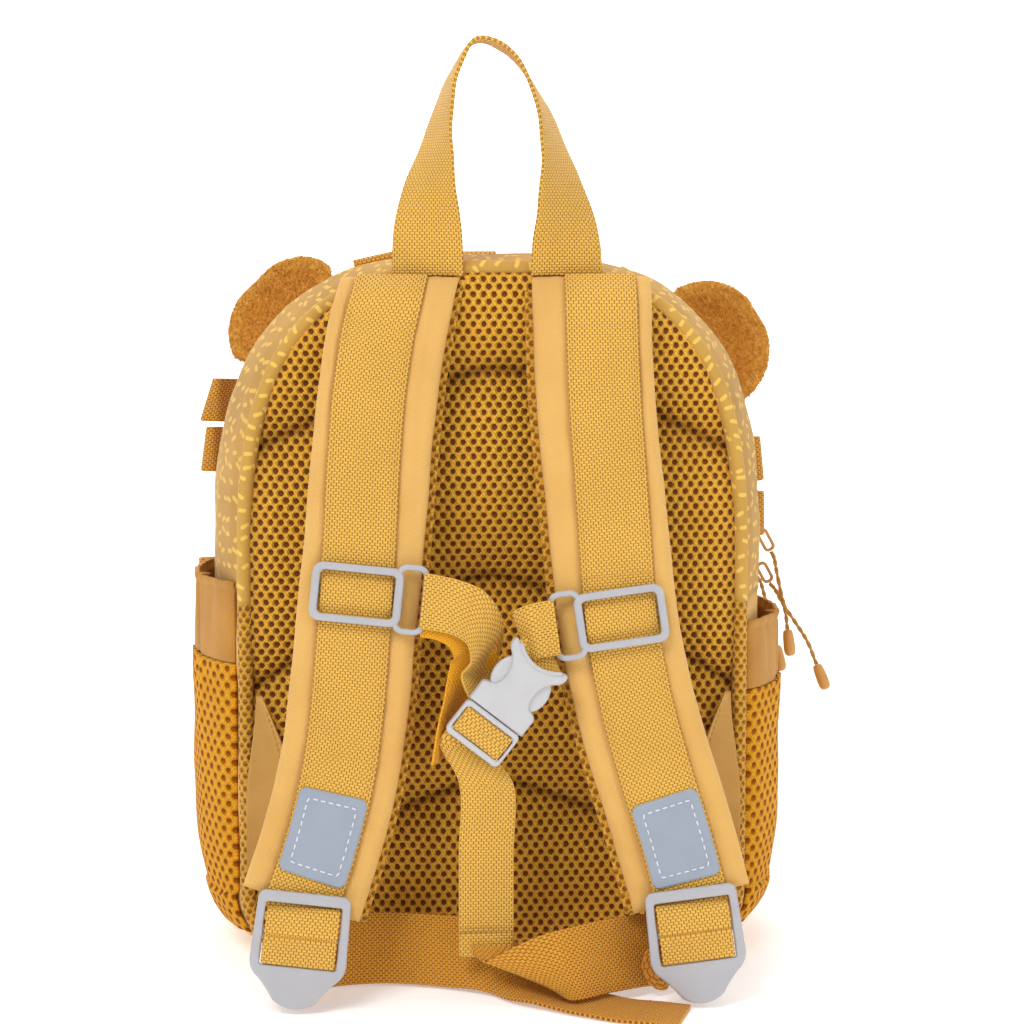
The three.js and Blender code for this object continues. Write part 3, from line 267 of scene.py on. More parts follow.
def tube(name, path, radius, sides=12, out=(0, -1, 0), loop=False, uv_turns=1.0):
    """Round tube along points; radius is a number or one for each point."""
    path = np.asarray(path, float)
    count = len(path)
    radius = np.broadcast_to(np.asarray(radius, float), (count,))
    ahead = np.roll(path, -1, 0) if loop else np.vstack([path[1:], path[-1:]])
    behind = np.roll(path, 1, 0) if loop else np.vstack([path[:1], path[:-1]])
    along = (ahead - behind) / np.linalg.norm(ahead - behind, axis=1)[:, None]
    across = np.cross(along, np.asarray(out, float))
    across /= np.linalg.norm(across, axis=1)[:, None]
    face = np.cross(across, along)
    turn = np.linspace(0, 2 * math.pi, sides, endpoint=False)
    ring = (np.cos(turn)[None, :, None] * across[:, None] + np.sin(turn)[None, :, None] * face[:, None])
    points = path[:, None] + ring * radius[:, None, None]
    run = run_along(path)
    uv = np.stack(np.broadcast_arrays(turn[None] * radius.mean() * uv_turns, run[:, None]), -1)
    faces = grid_faces(count, sides, wrap=True)
    if loop:
        base = (count - 1) * sides
        faces += [(base + j, base + (j + 1) % sides, (j + 1) % sides, j) for j in range(sides)]
    else:
        faces += [tuple(range(sides)), tuple(range((count - 1) * sides, count * sides))]
    return outward(mesh_object(name, points.reshape(-1, 3), faces, uv.reshape(-1, 2)))


EDGE = [(-1, 0.2), (-0.985, 0.72), (-0.95, 1.0), (-0.5, 1.0), (0, 1.0), (0.5, 1.0), (0.95, 1.0),
        (0.985, 0.72), (1, 0.2)]


def strip_lines(rows):
    """Middle line of a strip and the direction of its width, from rows of [place, direction]."""
    return curve([row[0] for row in rows]), curve([unit(np.asarray(row[1], float)) for row in rows])


def strip(name, rows, width, thick, steps, ripple=0.0):
    """Webbing along rows of [place, direction of the width], with rounded edges."""
    line, ways = strip_lines(rows)
    outer, inner, uv = [], [], []
    run, last = 0.0, None
    for i in range(steps + 1):
        t = i / steps
        place = line(t)
        side = unit(ways(t))
        face = unit(np.cross(tangent(line, t), side))
        run += 0 if last is None else float(np.linalg.norm(place - last))
        last = place
        wave = ripple * math.sin(run * 0.23) * math.sin(run * 0.071 + 1)
        outer.append([place + side * (a * width / 2) + face * (b * thick / 2 + wave * a * a)
                      for a, b in EDGE])
        inner.append([place + side * (a * width / 2) - face * (b * thick / 2 - wave * a * a)
                      for a, b in EDGE])
        uv.append([(a * width / 2, run) for a, _ in EDGE])
    obj = slab(name, np.array(outer), np.array(inner), np.array(uv))
    obj["run"] = run
    return obj


def stitches(name, places, normals, along, length=2.4, thick=0.5):
    """Row of short thread stitches, each a small rounded bar lying on the cloth."""
    points, faces = [], []
    ring = [(math.cos(a), math.sin(a)) for a in np.linspace(0, 2 * math.pi, 6, endpoint=False)]
    shape = [(-0.5, 0.35, -0.5), (-0.36, 1, 0.25), (0.36, 1, 0.25), (0.5, 0.35, -0.5)]
    for place, normal, way in zip(places, normals, along):
        way, normal = unit(way), unit(normal)
        side = np.cross(way, normal)
        base = len(points)
        for run, fat, lift in shape:
            centre = place + way * run * length + normal * lift * thick
            points += [centre + (side * c + normal * s * 0.8) * fat * thick / 2 for c, s in ring]
        for i in range(3):
            for j in range(6):
                k = (j + 1) % 6
                faces.append((base + i * 6 + j, base + i * 6 + k, base + (i + 1) * 6 + k,
                              base + (i + 1) * 6 + j))
        faces += [tuple(base + j for j in range(5, -1, -1)), tuple(base + 18 + j for j in range(6))]
    return mesh_object(name, points, faces)


def flat_shape(name, outlines, thick, bevel):
    """Plate from closed outlines (the first outside, the rest holes) with rounded edges, about z = 0."""
    data = bpy.data.curves.new(name, "CURVE")
    data.dimensions = "2D"
    data.fill_mode = "BOTH"
    data.extrude = (thick / 2 - bevel) * MM
    data.bevel_depth = bevel * MM
    data.bevel_resolution = 3
    data.offset = -bevel * MM
    for outline in outlines:
        spline = data.splines.new("POLY")
        spline.points.add(len(outline) - 1)
        for point, (x, y) in zip(spline.points, outline):
            point.co = (x * MM, y * MM, 0, 1)
        spline.use_cyclic_u = True
    shape = bpy.data.objects.new(name, data)
    scene.collection.objects.link(shape)
    bpy.context.view_layer.update()
    mesh = bpy.data.meshes.new_from_object(shape.evaluated_get(bpy.context.evaluated_depsgraph_get()))
    bpy.data.objects.remove(shape)
    obj = bpy.data.objects.new(name, mesh)
    scene.collection.objects.link(obj)
    soften(obj)
    return obj


def soften(obj, degrees=40):
    """Smooth shading except over sharp edges."""
    made = bmesh.new()
    made.from_mesh(obj.data)
    bmesh.ops.remove_doubles(made, verts=made.verts, dist=1e-6)
    for face in made.faces:
        face.smooth = True
    for edge in made.edges:
        edge.smooth = len(edge.link_faces) == 2 and edge.calc_face_angle(0) < math.radians(degrees)
    made.to_mesh(obj.data)
    made.free()


def rounded(left, right, low, high, radius, steps=6):
    corners = [(right - radius, low + radius, -90), (right - radius, high - radius, 0),
               (left + radius, high - radius, 90), (left + radius, low + radius, 180)]
    points = []
    for x, y, start in corners:
        for i in range(steps + 1):
            turn = math.radians(start + 90 * i / steps)
            points.append((x + radius * math.cos(turn), y + radius * math.sin(turn)))
    return points


def seat(obj, place, across, up):
    """Puts a piece made flat (X across, Y up, Z out) on the bag, with its place in its vertices."""
    across, up = unit(across), unit(up)
    out = unit(np.cross(across, up))
    turn = Matrix([[across[i], up[i], out[i], place[i] * MM] for i in range(3)] + [[0, 0, 0, 1]])
    obj.data.transform(turn)
    return obj


def slide(obj, x, y, z):
    obj.data.transform(Matrix.Translation((x * MM, y * MM, z * MM)))


def join(name, *objects):
    """Joins mesh objects without using the interface, keeping uv."""
    made = bmesh.new()
    for obj in objects:
        made.from_mesh(obj.data)
    data = bpy.data.meshes.new(name)
    made.to_mesh(data)
    made.free()
    for obj in objects:
        bpy.data.objects.remove(obj)
    obj = bpy.data.objects.new(name, data)
    scene.collection.objects.link(obj)
    return obj


def block(name, wide, high, deep, bevel):
    """Small bar with rounded edges, about the origin."""
    return flat_shape(name, [rounded(-wide / 2, wide / 2, -high / 2, high / 2, min(bevel, high * 0.45),
                                     3)], deep,
                      min(bevel, deep * 0.45))


# Materials.
def linear(*rgb):
    return tuple(((c / 255 + 0.055) / 1.055) ** 2.4 if c > 10 else c / 255 / 12.92 for c in rgb) + (1.0,)


# What a point's share of painted shade multiplies the colour by.
PAINTED_SHADE_TINT = (0.30, 0.20, 0.09)


class Paint:
    """A material's node tree, with short names for the nodes that it is made of."""

    def __init__(self, name, rough=0.8, sheen=0.0, specular=0.3, coords="uv"):
        self.material = bpy.data.materials.new(name)
        self.material.use_nodes = True
        self.tree = self.material.node_tree
        self.shader = next(n for n in self.tree.nodes if n.type == "BSDF_PRINCIPLED")
        self.shader.inputs["Roughness"].default_value = rough
        self.shader.inputs["Specular IOR Level"].default_value = specular
        if sheen:
            self.shader.inputs["Sheen Weight"].default_value = sheen
            self.shader.inputs["Sheen Roughness"].default_value = 0.5
        if coords == "uv":
            source = self.node("UVMap")
            source.uv_map = "mm"
            self.place = source.outputs["UV"]
        else:
            source = self.node("TexCoord")
            scaled = self.node("VectorMath")
            scaled.operation = "SCALE"
            scaled.inputs["Scale"].default_value = 1000
            self.tree.links.new(source.outputs["Object"], scaled.inputs[0])
            self.place = scaled.outputs[0]
        split = self.node("SeparateXYZ")
        self.tree.links.new(self.place, split.inputs[0])
        self.x, self.y, self.z = split.outputs

    def put(self, socket, value):
        if isinstance(value, bpy.types.NodeSocket):
            self.tree.links.new(value, socket)
        else:
            socket.default_value = value

    def node(self, kind):
        return self.tree.nodes.new("ShaderNode" + kind)

    def add(self, a, b):
        return self.math("ADD", a, b)

    def sub(self, a, b):
        return self.math("SUBTRACT", a, b)

    def mul(self, a, b):
        return self.math("MULTIPLY", a, b)

    def div(self, a, b):
        return self.math("DIVIDE", a, b)

    def math(self, operation, *values):
        node = self.node("Math")
        node.operation = operation
        for socket, value in zip(node.inputs, values):
            self.put(socket, value)
        return node.outputs[0]

    def vector(self, operation, *values):
        node = self.node("VectorMath")
        node.operation = operation
        for socket, value in zip(node.inputs, values):
            self.put(socket, value)
        return node.outputs["Value"] if operation in ("LENGTH", "DOT_PRODUCT",
                                                      "DISTANCE") else node.outputs[0]

    def noise(self, scale, detail=2.0, where=None, stretch=None, rough=0.5):
        """Noise with features about 1 / scale millimetres across."""
        node = self.node("TexNoise")
        node.inputs["Scale"].default_value = scale
        node.inputs["Detail"].default_value = detail
        node.inputs["Roughness"].default_value = rough
        place = self.place if where is None else where
        if stretch:
            place = self.vector("MULTIPLY", place, stretch)
        self.put(node.inputs["Vector"], place)
        return node.outputs["Fac"]

    def step(self, value, low, high):
        node = self.node("MapRange")
        node.interpolation_type = "SMOOTHSTEP"
        self.put(node.inputs["Value"], value)
        node.inputs["From Min"].default_value = low
        node.inputs["From Max"].default_value = high
        return node.outputs["Result"]

    def ramp(self, value, low, high, to_low=0.0, to_high=1.0):
        node = self.node("MapRange")
        self.put(node.inputs["Value"], value)
        for key, number in (("From Min", low), ("From Max", high), ("To Min", to_low), ("To Max", to_high)):
            node.inputs[key].default_value = number
        return node.outputs["Result"]

    def mix(self, share, a, b, blend="MIX"):
        node = self.node("Mix")
        node.data_type = "RGBA"
        node.blend_type = blend
        for key, value in ((0, share), (6, a), (7, b)):
            self.put(node.inputs[key], value)
        return node.outputs[2]

    def bump(self, height, distance, strength=1.0, under=None):
        node = self.node("Bump")
        node.inputs["Strength"].default_value = strength
        node.inputs["Distance"].default_value = distance * MM
        self.put(node.inputs["Height"], height)
        if under is not None:
            self.put(node.inputs["Normal"], under)
        return node.outputs["Normal"]

    # fold is the tint of the painted shade: each point takes it as far as its shade share goes.
    def finish(self, color, normal=None, rough=None, fold=PAINTED_SHADE_TINT):
        folds = self.node("Attribute")
        folds.attribute_name = "shade"
        color = self.mix(folds.outputs["Fac"], color, (*fold, 1), "MULTIPLY")
        self.put(self.shader.inputs["Base Color"], color)
        if normal is not None:
            self.put(self.shader.inputs["Normal"], normal)
        if rough is not None:
            self.put(self.shader.inputs["Roughness"], rough)
        return self.material

    def bricks(self, wide, high, power=0.5):
        """Height of blocks of woven yarn, wide x high, each row half a block on."""
        row = self.div(self.y, high)
        odd = self.math("MODULO", self.math("FLOOR", self.add(row, 10000)), 2.0)
        across = self.math("FRACT", self.add(self.div(self.add(self.x, 5000), wide),
                                              self.mul(odd, 0.5)))
        along = self.math("FRACT", self.add(row, 10000))
        humps = [self.mul(4.0, self.mul(s, self.sub(1.0, s)))
                 for s in (across, along)]
        return self.math("POWER", self.mul(humps[0], humps[1]), power), humps


def shade(paint, color, dark, amount=0.25, scale=0.02):
    """Slow drift of a cloth's colour over some centimetres."""
    return paint.mix(paint.mul(paint.step(paint.noise(scale, 3), 0.35, 0.7), amount), color, dark)


def webbing_paint(name, light, dark, wide=2.05, high=1.12, fold=PAINTED_SHADE_TINT):
    """Woven webbing: rows of small humps with dark gaps between them."""
    p = Paint(name, rough=0.62, sheen=0.1, specular=0.22)
    height, humps = p.bricks(wide, high)
    fibre = p.noise(3.2, 2, stretch=(1, 0.35, 1))
    body = shade(p, linear(*light), linear(*[c * 0.93 for c in light]), 0.6)
    ends = p.math("MINIMUM", p.mul(humps[0], 1.5), p.add(humps[1], 0.42))
    gaps = p.step(ends, 0.22, 0.86)
    color = p.mix(gaps, linear(*dark), body)
    color = p.mix(p.mul(p.step(fibre, 0.45, 0.75), 0.22), color,
                  linear(*[min(255, c * 1.08) for c in light]))
    normal = p.bump(p.add(height, p.mul(fibre, 0.3)), 0.55, 0.85)
    return p.finish(color, normal, fold=fold)


def cloth_paint(name, light, dark, pitch=0.8, depth=0.22, crease=0.6):
    """Plain woven cloth with soft creases."""
    p = Paint(name, rough=0.8, sheen=0.12, specular=0.15)
    height, _ = p.bricks(pitch, pitch * 0.62)
    slow = p.noise(0.055, 4, rough=0.6)
    body = shade(p, linear(*light), linear(*dark), 0.55, 0.03)
    color = p.mix(p.step(height, 0.0, 0.6), linear(*[c * 0.74 for c in light]), body)
    weave = p.bump(height, depth, 0.6)
    normal = p.bump(slow, 1.2, crease, weave)
    return p.finish(color, normal)


def print_paint(name, base, dash, lean=0.0, cell=7.0):
    """Woven cloth with a scatter of short rounded dashes."""
    p = Paint(name, rough=0.78, sheen=0.1, specular=0.15)
    height, _ = p.bricks(0.7, 0.42)
    scaled = p.vector("SCALE", p.place)
    scaled.node.inputs["Scale"].default_value = 1 / cell
    cells = p.node("TexVoronoi")
    cells.voronoi_dimensions = "2D"
    cells.inputs["Scale"].default_value = 1
    cells.inputs["Randomness"].default_value = 0.62
    p.put(cells.inputs["Vector"], scaled)
    offset = p.vector("SUBTRACT", scaled, cells.outputs["Position"])
    tone = p.node("SeparateColor")
    p.put(tone.inputs[0], cells.outputs["Color"])
    angle = p.add(p.mul(p.sub(tone.outputs[0], 0.5), 1.3), lean)
    turn = p.node("VectorRotate")
    turn.rotation_type = "Z_AXIS"
    p.put(turn.inputs["Vector"], offset)
    p.put(turn.inputs["Angle"], angle)
    length = p.ramp(tone.outputs[1], 0, 1, 0.13, 0.27)
    parts = p.node("SeparateXYZ")
    p.put(parts.inputs[0], turn.outputs[0])
    along = p.math("MAXIMUM", p.sub(p.math("ABSOLUTE", parts.outputs[1]), length), 0.0)
    away_from = p.math("SQRT", p.add(p.math("POWER", parts.outputs[0], 2.0), p.math("POWER", along, 2.0)))
    inside = p.sub(1.0, p.step(away_from, 0.115, 0.155))
    ground = shade(p, linear(*base), linear(*[c * 0.9 for c in base]), 0.6, 0.03)
    color = p.mix(p.mul(inside, 0.85), ground, linear(*dash))
    color = p.mix(p.mul(p.sub(1.0, p.step(height, 0.0, 0.5)), 0.2), color,
                  linear(*[c * 0.7 for c in base]))
    weave = p.bump(height, 0.12, 0.5)
    return p.finish(color, p.bump(p.noise(0.06, 4), 1.1, 0.5, weave))


def mesh_paint(name, yarn, shadow, hole, across=4.25, rise=3.0, radius=(1.12, 1.3), edge=(0.86, 1.06),
               gloss=0.22):
    """Knitted mesh: staggered round holes between plaited yarn, with painted shade in the open holes and
    between the plaited strands.
    """
    p = Paint(name, rough=0.66, sheen=gloss / 2, specular=gloss)
    wobble = p.node("TexNoise")
    wobble.inputs["Scale"].default_value = 0.33
    wobble.inputs["Detail"].default_value = 1.0
    p.put(wobble.inputs["Vector"], p.place)
    shift = p.vector("SCALE", p.vector("SUBTRACT", wobble.outputs["Color"], (0.5, 0.5, 0.5)))
    shift.node.inputs["Scale"].default_value = 0.9
    split = p.node("SeparateXYZ")
    p.put(split.inputs[0], p.vector("ADD", p.place, shift))
    row = p.add(p.div(split.outputs[1], rise), 10000.0)
    odd = p.mul(p.math("MODULO", p.math("FLOOR", row), 2.0), 0.5)
    column = p.add(p.add(p.div(split.outputs[0], across), 10000.0), odd)
    dx = p.mul(p.sub(p.math("FRACT", column), 0.5), across / radius[0])
    dy = p.mul(p.sub(p.math("FRACT", row), 0.5), rise / radius[1])
    away_from = p.math("SQRT", p.add(p.math("POWER", dx, 2.0), p.math("POWER", dy, 2.0)))
    cloth = p.step(away_from, *edge)
    strands = p.math("SINE", p.mul(p.add(dx, p.mul(dy, 0.7)), 5.2))
    twist = p.math("SINE", p.mul(p.sub(p.mul(dx, 0.8), dy), 5.6))
    fibre = p.noise(2.4, 3)
    plait = p.mul(p.add(p.add(strands, twist), 2.0), 0.25)
    tone = p.add(p.mul(plait, 0.55), p.mul(fibre, 0.5))
    # Painted shade between the plaited strands: the yarn's tone runs from its shadow colour to its lit
    # colour.
    lit = p.mix(p.step(tone, 0.25, 0.75), linear(*shadow), linear(*yarn))
    lit = shade(p, lit, linear(*shadow), 0.35, 0.025)
    # Painted shade in the open holes: the hole colour, darker towards the upper side of each hole and lighter
    # towards its lower side.
    floor = p.mix(p.step(dy, -0.9, 0.6), linear(*[c * 1.35 for c in hole]), linear(*hole))
    color = p.mix(cloth, floor, lit)
    round_edge = p.add(p.step(away_from, 0.7, 1.7), p.mul(tone, 0.35))
    normal = p.bump(round_edge, 1.3, 0.9)
    return p.finish(color, normal)


def plastic_paint(name, color, rough=0.38, grain=0.05):
    """Moulded plastic with a fine grain and a little rubbing."""
    p = Paint(name, rough=rough, specular=0.45, coords="object")
    slow = p.noise(0.09, 3)
    fine = p.noise(5.0, 2)
    tone = p.mix(p.mul(p.step(slow, 0.3, 0.8), 0.5), linear(*color), linear(*[c * 0.95 for c in color]))
    rub = p.ramp(p.noise(0.4, 4), 0.3, 0.7, rough - 0.05, rough + 0.1)
    return p.finish(tone, p.bump(fine, grain, 0.35), rub)


def plush_paint(name, light, dark):
    """Short plush in small clumps."""
    p = Paint(name, rough=0.95, sheen=0.04, specular=0.02, coords="object")
    clumps = p.noise(0.45, 4, rough=0.65)
    color = p.mix(p.step(clumps, 0.35, 0.68), linear(*dark), linear(*light))
    return p.finish(color, p.bump(p.noise(1.6, 4, rough=0.7), 1.0, 0.8))


PAINTS = {
    "webbing": webbing_paint("webbing", (236, 184, 82), (158, 104, 28)),
        # Copy of the webbing whose fold tint is a warm painted shade, for the lower tapes lying in shade.
        "shaded_low_webbing": webbing_paint("shaded_low_webbing", (236, 184, 82), (158, 104, 28),
                                     fold=(0.83, 0.52, 0.02)),
    # Darker copy of the webbing with a deep painted-shade tint, for the mane tabs in shade.
    "shaded_mane_webbing": webbing_paint("shaded_mane_webbing", (220, 158, 60), (140, 82, 18), fold=(0.42, 0.22, 0.06)),
    # Brighter, more saturated orange copy of the webbing for the layer under the chest strap: painted light
    # bounced between the two layers.
    "bounce_lit_under_webbing": webbing_paint("bounce_lit_under_webbing", (250, 178, 30), (226, 132, 8), 1.6, 0.9),
    "plain": cloth_paint("plain", (234, 184, 104), (222, 168, 90)),
    "pocket": cloth_paint("pocket", (204, 146, 68), (178, 122, 50), pitch=0.95, depth=0.3),
    "print": print_paint("print", (194, 148, 72), (228, 186, 88)),
    "rim_print": print_paint("rim_print", (204, 158, 76), (240, 200, 96), lean=math.pi / 2, cell=6.0),
    # The third colour of each mesh is the painted shade in its open holes.
    "mesh": mesh_paint("mesh", (250, 194, 74), (212, 148, 38), (92, 48, 2), gloss=0.12),
    "strap_mesh": mesh_paint("strap_mesh", (242, 186, 66), (204, 140, 34), (132, 84, 14), 3.7,
                             2.6, (0.9, 0.95)),
    "pocket_mesh": mesh_paint("pocket_mesh", (238, 172, 50), (208, 138, 26), (122, 66, 6), 6.4,
                              3.6, (1.5, 1.3),
                              gloss=0.04),
    "zip": cloth_paint("zip", (206, 152, 72), (180, 126, 54), pitch=1.1, depth=0.3),
    "plush": plush_paint("plush", (236, 178, 84), (218, 154, 62)),
    "rust": plush_paint("rust", (234, 170, 76), (216, 144, 54)),
    "plastic": plastic_paint("plastic", (178, 177, 181)),
    "buckle": plastic_paint("buckle", (192, 191, 193)),
    "pull": plastic_paint("pull", (206, 150, 76), 0.45),
    "reflect": plastic_paint("reflect", (152, 160, 174), 0.42, 0.03),
    "thread": plastic_paint("thread", (224, 172, 84), 0.7),
    "white_thread": plastic_paint("white_thread", (232, 234, 236), 0.7),
}


def paint(obj, name):
    obj.data.materials.clear()
    obj.data.materials.append(PAINTS[name])
    return obj


def piece(obj, look, slot, *nodes):
    """Finishes a piece: its material, the body that it rides on and the nodes it stands for; slot is not
    used.
    """
    paint(obj, look)
    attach(obj, "root")
    if nodes:
        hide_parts(*nodes)
    return obj


# The body's outline.
DEPTH_ROWS = [
    (0.00, 0.00, 0.00, 1.00, 0.00),
    (0.12, 0.45, 0.75, 0.35, 0.00),
    (0.28, 0.82, 1.00, 0.00, 0.00),
    (0.50, 1.00, 1.00, 0.00, 0.10),
    (0.72, 0.90, 1.00, 0.00, 0.35),
    (0.90, 0.55, 0.80, 0.00, 0.72),
    (1.00, 0.30, 0.00, 0.00, 1.00),
]


def wave(x, y, z=0.0, scale=1.0):
    """Smooth steady noise from -1 to 1."""
    return noise.noise(Vector((x * scale, y * scale, z * scale)))


def section(y):
    """Half width, base and top of the body at one depth."""
    share = (y - BODY_BACK) / (BODY_FRONT - BODY_BACK)
    _, swell, level, fall, slope = between(DEPTH_ROWS, share)
    seam_half, seam_swell = (FRONT_EDGE_HALF, 0.30) if share > 0.5 else (PANEL_EDGE_HALF, 0.0)
    half = lerp(seam_half, BODY_HALF, (swell - seam_swell) / (1 - seam_swell))
    return {"y": y, "half": half, "base": BASE_LIFT * (1 - level),
            "top": BODY_HEIGHT - TOP_DROP * fall - FRONT_DROP * slope}


def arch(cut, inset, steps, start=SEAM_HEIGHT):
    """Outline of the body above the side seam, from the right seam over the dome to the left one."""
    half, rise = cut["half"] - inset, cut["top"] - inset - DOME_START
    points = [(half, lerp(start, DOME_START, i / 4)) for i in range(4)]
    for i in range(steps + 1):
        turn = math.pi * i / steps
        turn += 0.11 * math.sin(4 * turn)
        c, s = math.cos(turn), max(math.sin(turn), 0.0)
        points.append((math.copysign(abs(c) ** (2 / DOME_POWER), c) * half,
                       DOME_START + rise * s ** (2 / DOME_POWER)))
    points += [(-half, lerp(start, DOME_START, i / 4)) for i in range(3, -1, -1)]
    return [vec(x, cut["y"], z) for x, z in points]


def cradle(cut, inset, start=SEAM_HEIGHT):
    """Outline of the body below the side seam, from the left seam round the base to the right one."""
    half, floor, corner = cut["half"] - inset, cut["base"] + inset, CORNER - inset
    right = [(half, lerp(start, floor + corner, i / 14)) for i in range(14)]
    for i in range(13):
        turn = (i / 12) * math.pi / 2
        right.append((half - corner * (1 - math.cos(turn)), floor + corner * (1 - math.sin(turn))))
    right += [(lerp(half - corner, 0, i / 9), floor) for i in range(1, 9)]
    return [vec(-x, cut["y"], z) for x, z in right] + [vec(0, cut["y"], floor)] + [
        vec(x, cut["y"], z) for x, z in reversed(right)]


def wall(name, outline, low, high, steps, thick=CLOTH, puff=0.0, crease=0.0):
    """Cloth wall between two depths, with a little fullness and soft creases."""
    depths = [lerp(low, high, i / steps) for i in range(steps + 1)]
    lines = [np.array(outline(section(y), 0)) for y in depths]
    inner = [np.array(outline(section(y), thick)) for y in depths]
    outer = np.stack(lines, 1)
    inner = np.stack(inner, 1)
    normal = outer - inner
    normal /= np.linalg.norm(normal, axis=2)[:, :, None]
    run = run_along(outer[:, steps // 2])
    for i in range(len(run)):
        for j in range(steps + 1):
            share = j / steps
            fullness = puff * math.sin(math.pi * share)
            edge = math.exp(-share * 9) + math.exp(-(1 - share) * 9)
            fold = crease * (0.45 * wave(run[i] * 0.045, share * 2.2, 1.7)
                             + 0.35 * edge * wave(run[i] * 0.16, share, 4.2))
            outer[i, j] += normal[i, j] * (fullness + fold * (1 if outer[i, j, 2] > 14 else 0.15))
    uv = np.stack(np.broadcast_arrays(run[:, None], np.array(depths)[None, :]), -1)
    return slab(name, outer, inner, uv)


def printed(cut, inset):
    """Outline of the printed walls, a gap above the seam."""
    return arch(cut, inset, 110, SEAM_HEIGHT + GAP)


piece(wall("gusset_printed_cloth", printed, BODY_BACK + GAP, ZIP_START, 26, puff=0.6, crease=2.0), "print",
      "printed_cloth", "gusset_print")
piece(wall("gusset_front_cloth", printed, ZIP_END + GAP, BODY_FRONT, 14, puff=0.4, crease=1.2), "print",
      "printed_cloth", "gusset_front")
piece(wall("gusset_plain_cloth", cradle, BODY_BACK + GAP, BODY_FRONT, 36, crease=2.2), "plain",
      "plain_cloth", "gusset_plain")


# Zip round the dome.
def zip_closure():
    """Zip tape round the dome with two interlocking rows of teeth."""
    tape = wall("zip_tape", printed, ZIP_START + GAP, ZIP_END, 6, thick=1.6)
    middle = (ZIP_START + ZIP_END) / 2
    path = np.array(arch(section(middle), -0.3, 400, SEAM_HEIGHT + GAP))
    run = run_along(path)
    points, faces = [], []
    count = int(run[-1] / 1.25)
    for k in range(count):
        s = (k + 0.5) * run[-1] / count
        place = np.array([np.interp(s, run, path[:, i]) for i in range(3)])
        ahead = np.array([np.interp(s + 0.5, run, path[:, i]) for i in range(3)])
        along = unit(ahead - place + vec(1e-9, 0, 0))
        depth = vec(0, 1, 0)
        out = unit(np.cross(depth, along))
        out = out if out[2] + np.sign(place[0]) * out[0] > 0 else -out
        side = 0.5 if k % 2 else -0.5
        base = len(points)
        for a, b, c in ((-1, -1, 0), (1, -1, 0), (1, 1, 0), (-1, 1, 0),
                        (-0.7, -0.8, 1), (0.7, -0.8, 1), (0.7, 0.8, 1), (-0.7, 0.8, 1)):
            points.append(place + along * a * 0.42 + depth * (side + b * 1.25) + out * (c - 0.15))
        for f in ((0, 1, 2, 3), (4, 7, 6, 5), (0, 4, 5, 1), (1, 5, 6, 2), (2, 6, 7, 3), (3, 7, 4, 0)):
            faces.append(tuple(base + i for i in f))
    teeth = outward(mesh_object("zip_teeth", points, faces, smooth_faces=False))
    piece(tape, "zip", "zip_tape", "zip_band")
    piece(teeth, "pull", "zip_plastic")


zip_closure()


# Padded back panel and its rolled edge.
GROOVES = [0.845, 0.555, 0.265]
GROOVE_FALL = 0.17
PANEL_HALF = PANEL_EDGE_HALF - RIM_RADIUS - 3 * GAP
PANEL_BASE = RIM_RADIUS + BASE_LIFT + 3 * GAP
PANEL_TOP = BODY_HEIGHT - TOP_DROP - RIM_RADIUS - 3 * GAP
UNDER_RIM = 3.4
PANEL_ROUND = 15
PANEL_BACK = BODY_BACK - GAP


def half_at(z, half, base, top, corner):
    """Half width of a domed outline with rounded lower corners, at one height."""
    if z < base + corner:
        drop = min(corner, base + corner - z)
        return half - corner + math.sqrt(max(0, corner * corner - drop * drop))
    if z <= DOME_START:
        return half
    share = min(1, (z - DOME_START) / (top - DOME_START))
    return half * (1 - share ** DOME_POWER) ** (1 / DOME_POWER)


def arch_fall(x, even):
    """How far the panel's arched lines have fallen at a distance from the middle."""
    across = abs(x) / BODY_HALF
    bend = math.hypot(across, 0.12) - 0.12
    return BODY_HEIGHT * GROOVE_FALL * bend * (1 + 0.3 * across) * math.sin(math.pi * even) ** 0.5


def plate(half, base, top, corner, rows, columns, bend, depth):
    """Grid over a domed outline, its rows bent into arches, with a depth for each place."""
    grid, uv = [], []
    for i in range(rows + 1):
        even = i / rows
        soft_end = (1 - math.cos(even * math.pi)) / 2
        peak = lerp(base, top, lerp(even, soft_end, 0.3) * 0.9985 + 0.0006)
        reach, beyond = 0.0, half
        for _ in range(22):
            middle = (reach + beyond) / 2
            if middle < half_at(peak - bend(middle, even), half, base, top, corner):
                reach = middle
            else:
                beyond = middle
        line, places = [], []
        for j in range(columns + 1):
            x = reach * math.sin(lerp(-1, 1, j / columns) * math.pi / 2 * 0.82) / math.sin(math.pi / 2 * 0.82)
            z = peak - bend(x, even)
            edge = min(reach - abs(x), z - base, top - z)
            line.append((x, depth(x, z, max(0, edge), peak), z))
            places.append((x, z))
        grid.append(line)
        uv.append(places)
    return np.array(grid), np.array(uv)


def groove_gap(x, peak):
    """Distance to the nearest groove, which wanders a little."""
    return min(abs(peak - share * BODY_HEIGHT + 1.5 * wave(x * 0.03, share * 9)) for share in GROOVES)


def groove_depth(x, peak):
    gap = groove_gap(x, peak)
    return 3.0 * math.exp(-gap / 2.2) + 5.4 * math.exp(-(gap / 14) ** 2)


def groove_shade(x, peak):
    gap = groove_gap(x, peak)
    return 0.62 * math.exp(-(gap / 1.7) ** 2) + 0.2 * math.exp(-(gap / 6.5) ** 2)


def panel_depth(x, z, edge, peak):
    """Front level of the padded panel: crown, arched grooves and small puckers."""
    swell = round_off(edge, PANEL_ROUND)
    crown = PANEL_THICK * (0.22 + 0.78 * swell) + PANEL_CROWN * swell * (1 - (x / PANEL_HALF) ** 2)
    groove = groove_depth(x, peak) - 1.6
    pucker = 0.7 * wave(x * 0.11, z * 0.05, 2.0) + 0.7 * wave(x * 0.04, z * 0.06, 5.0)
    return PANEL_BACK - crown + (groove - pucker) * swell


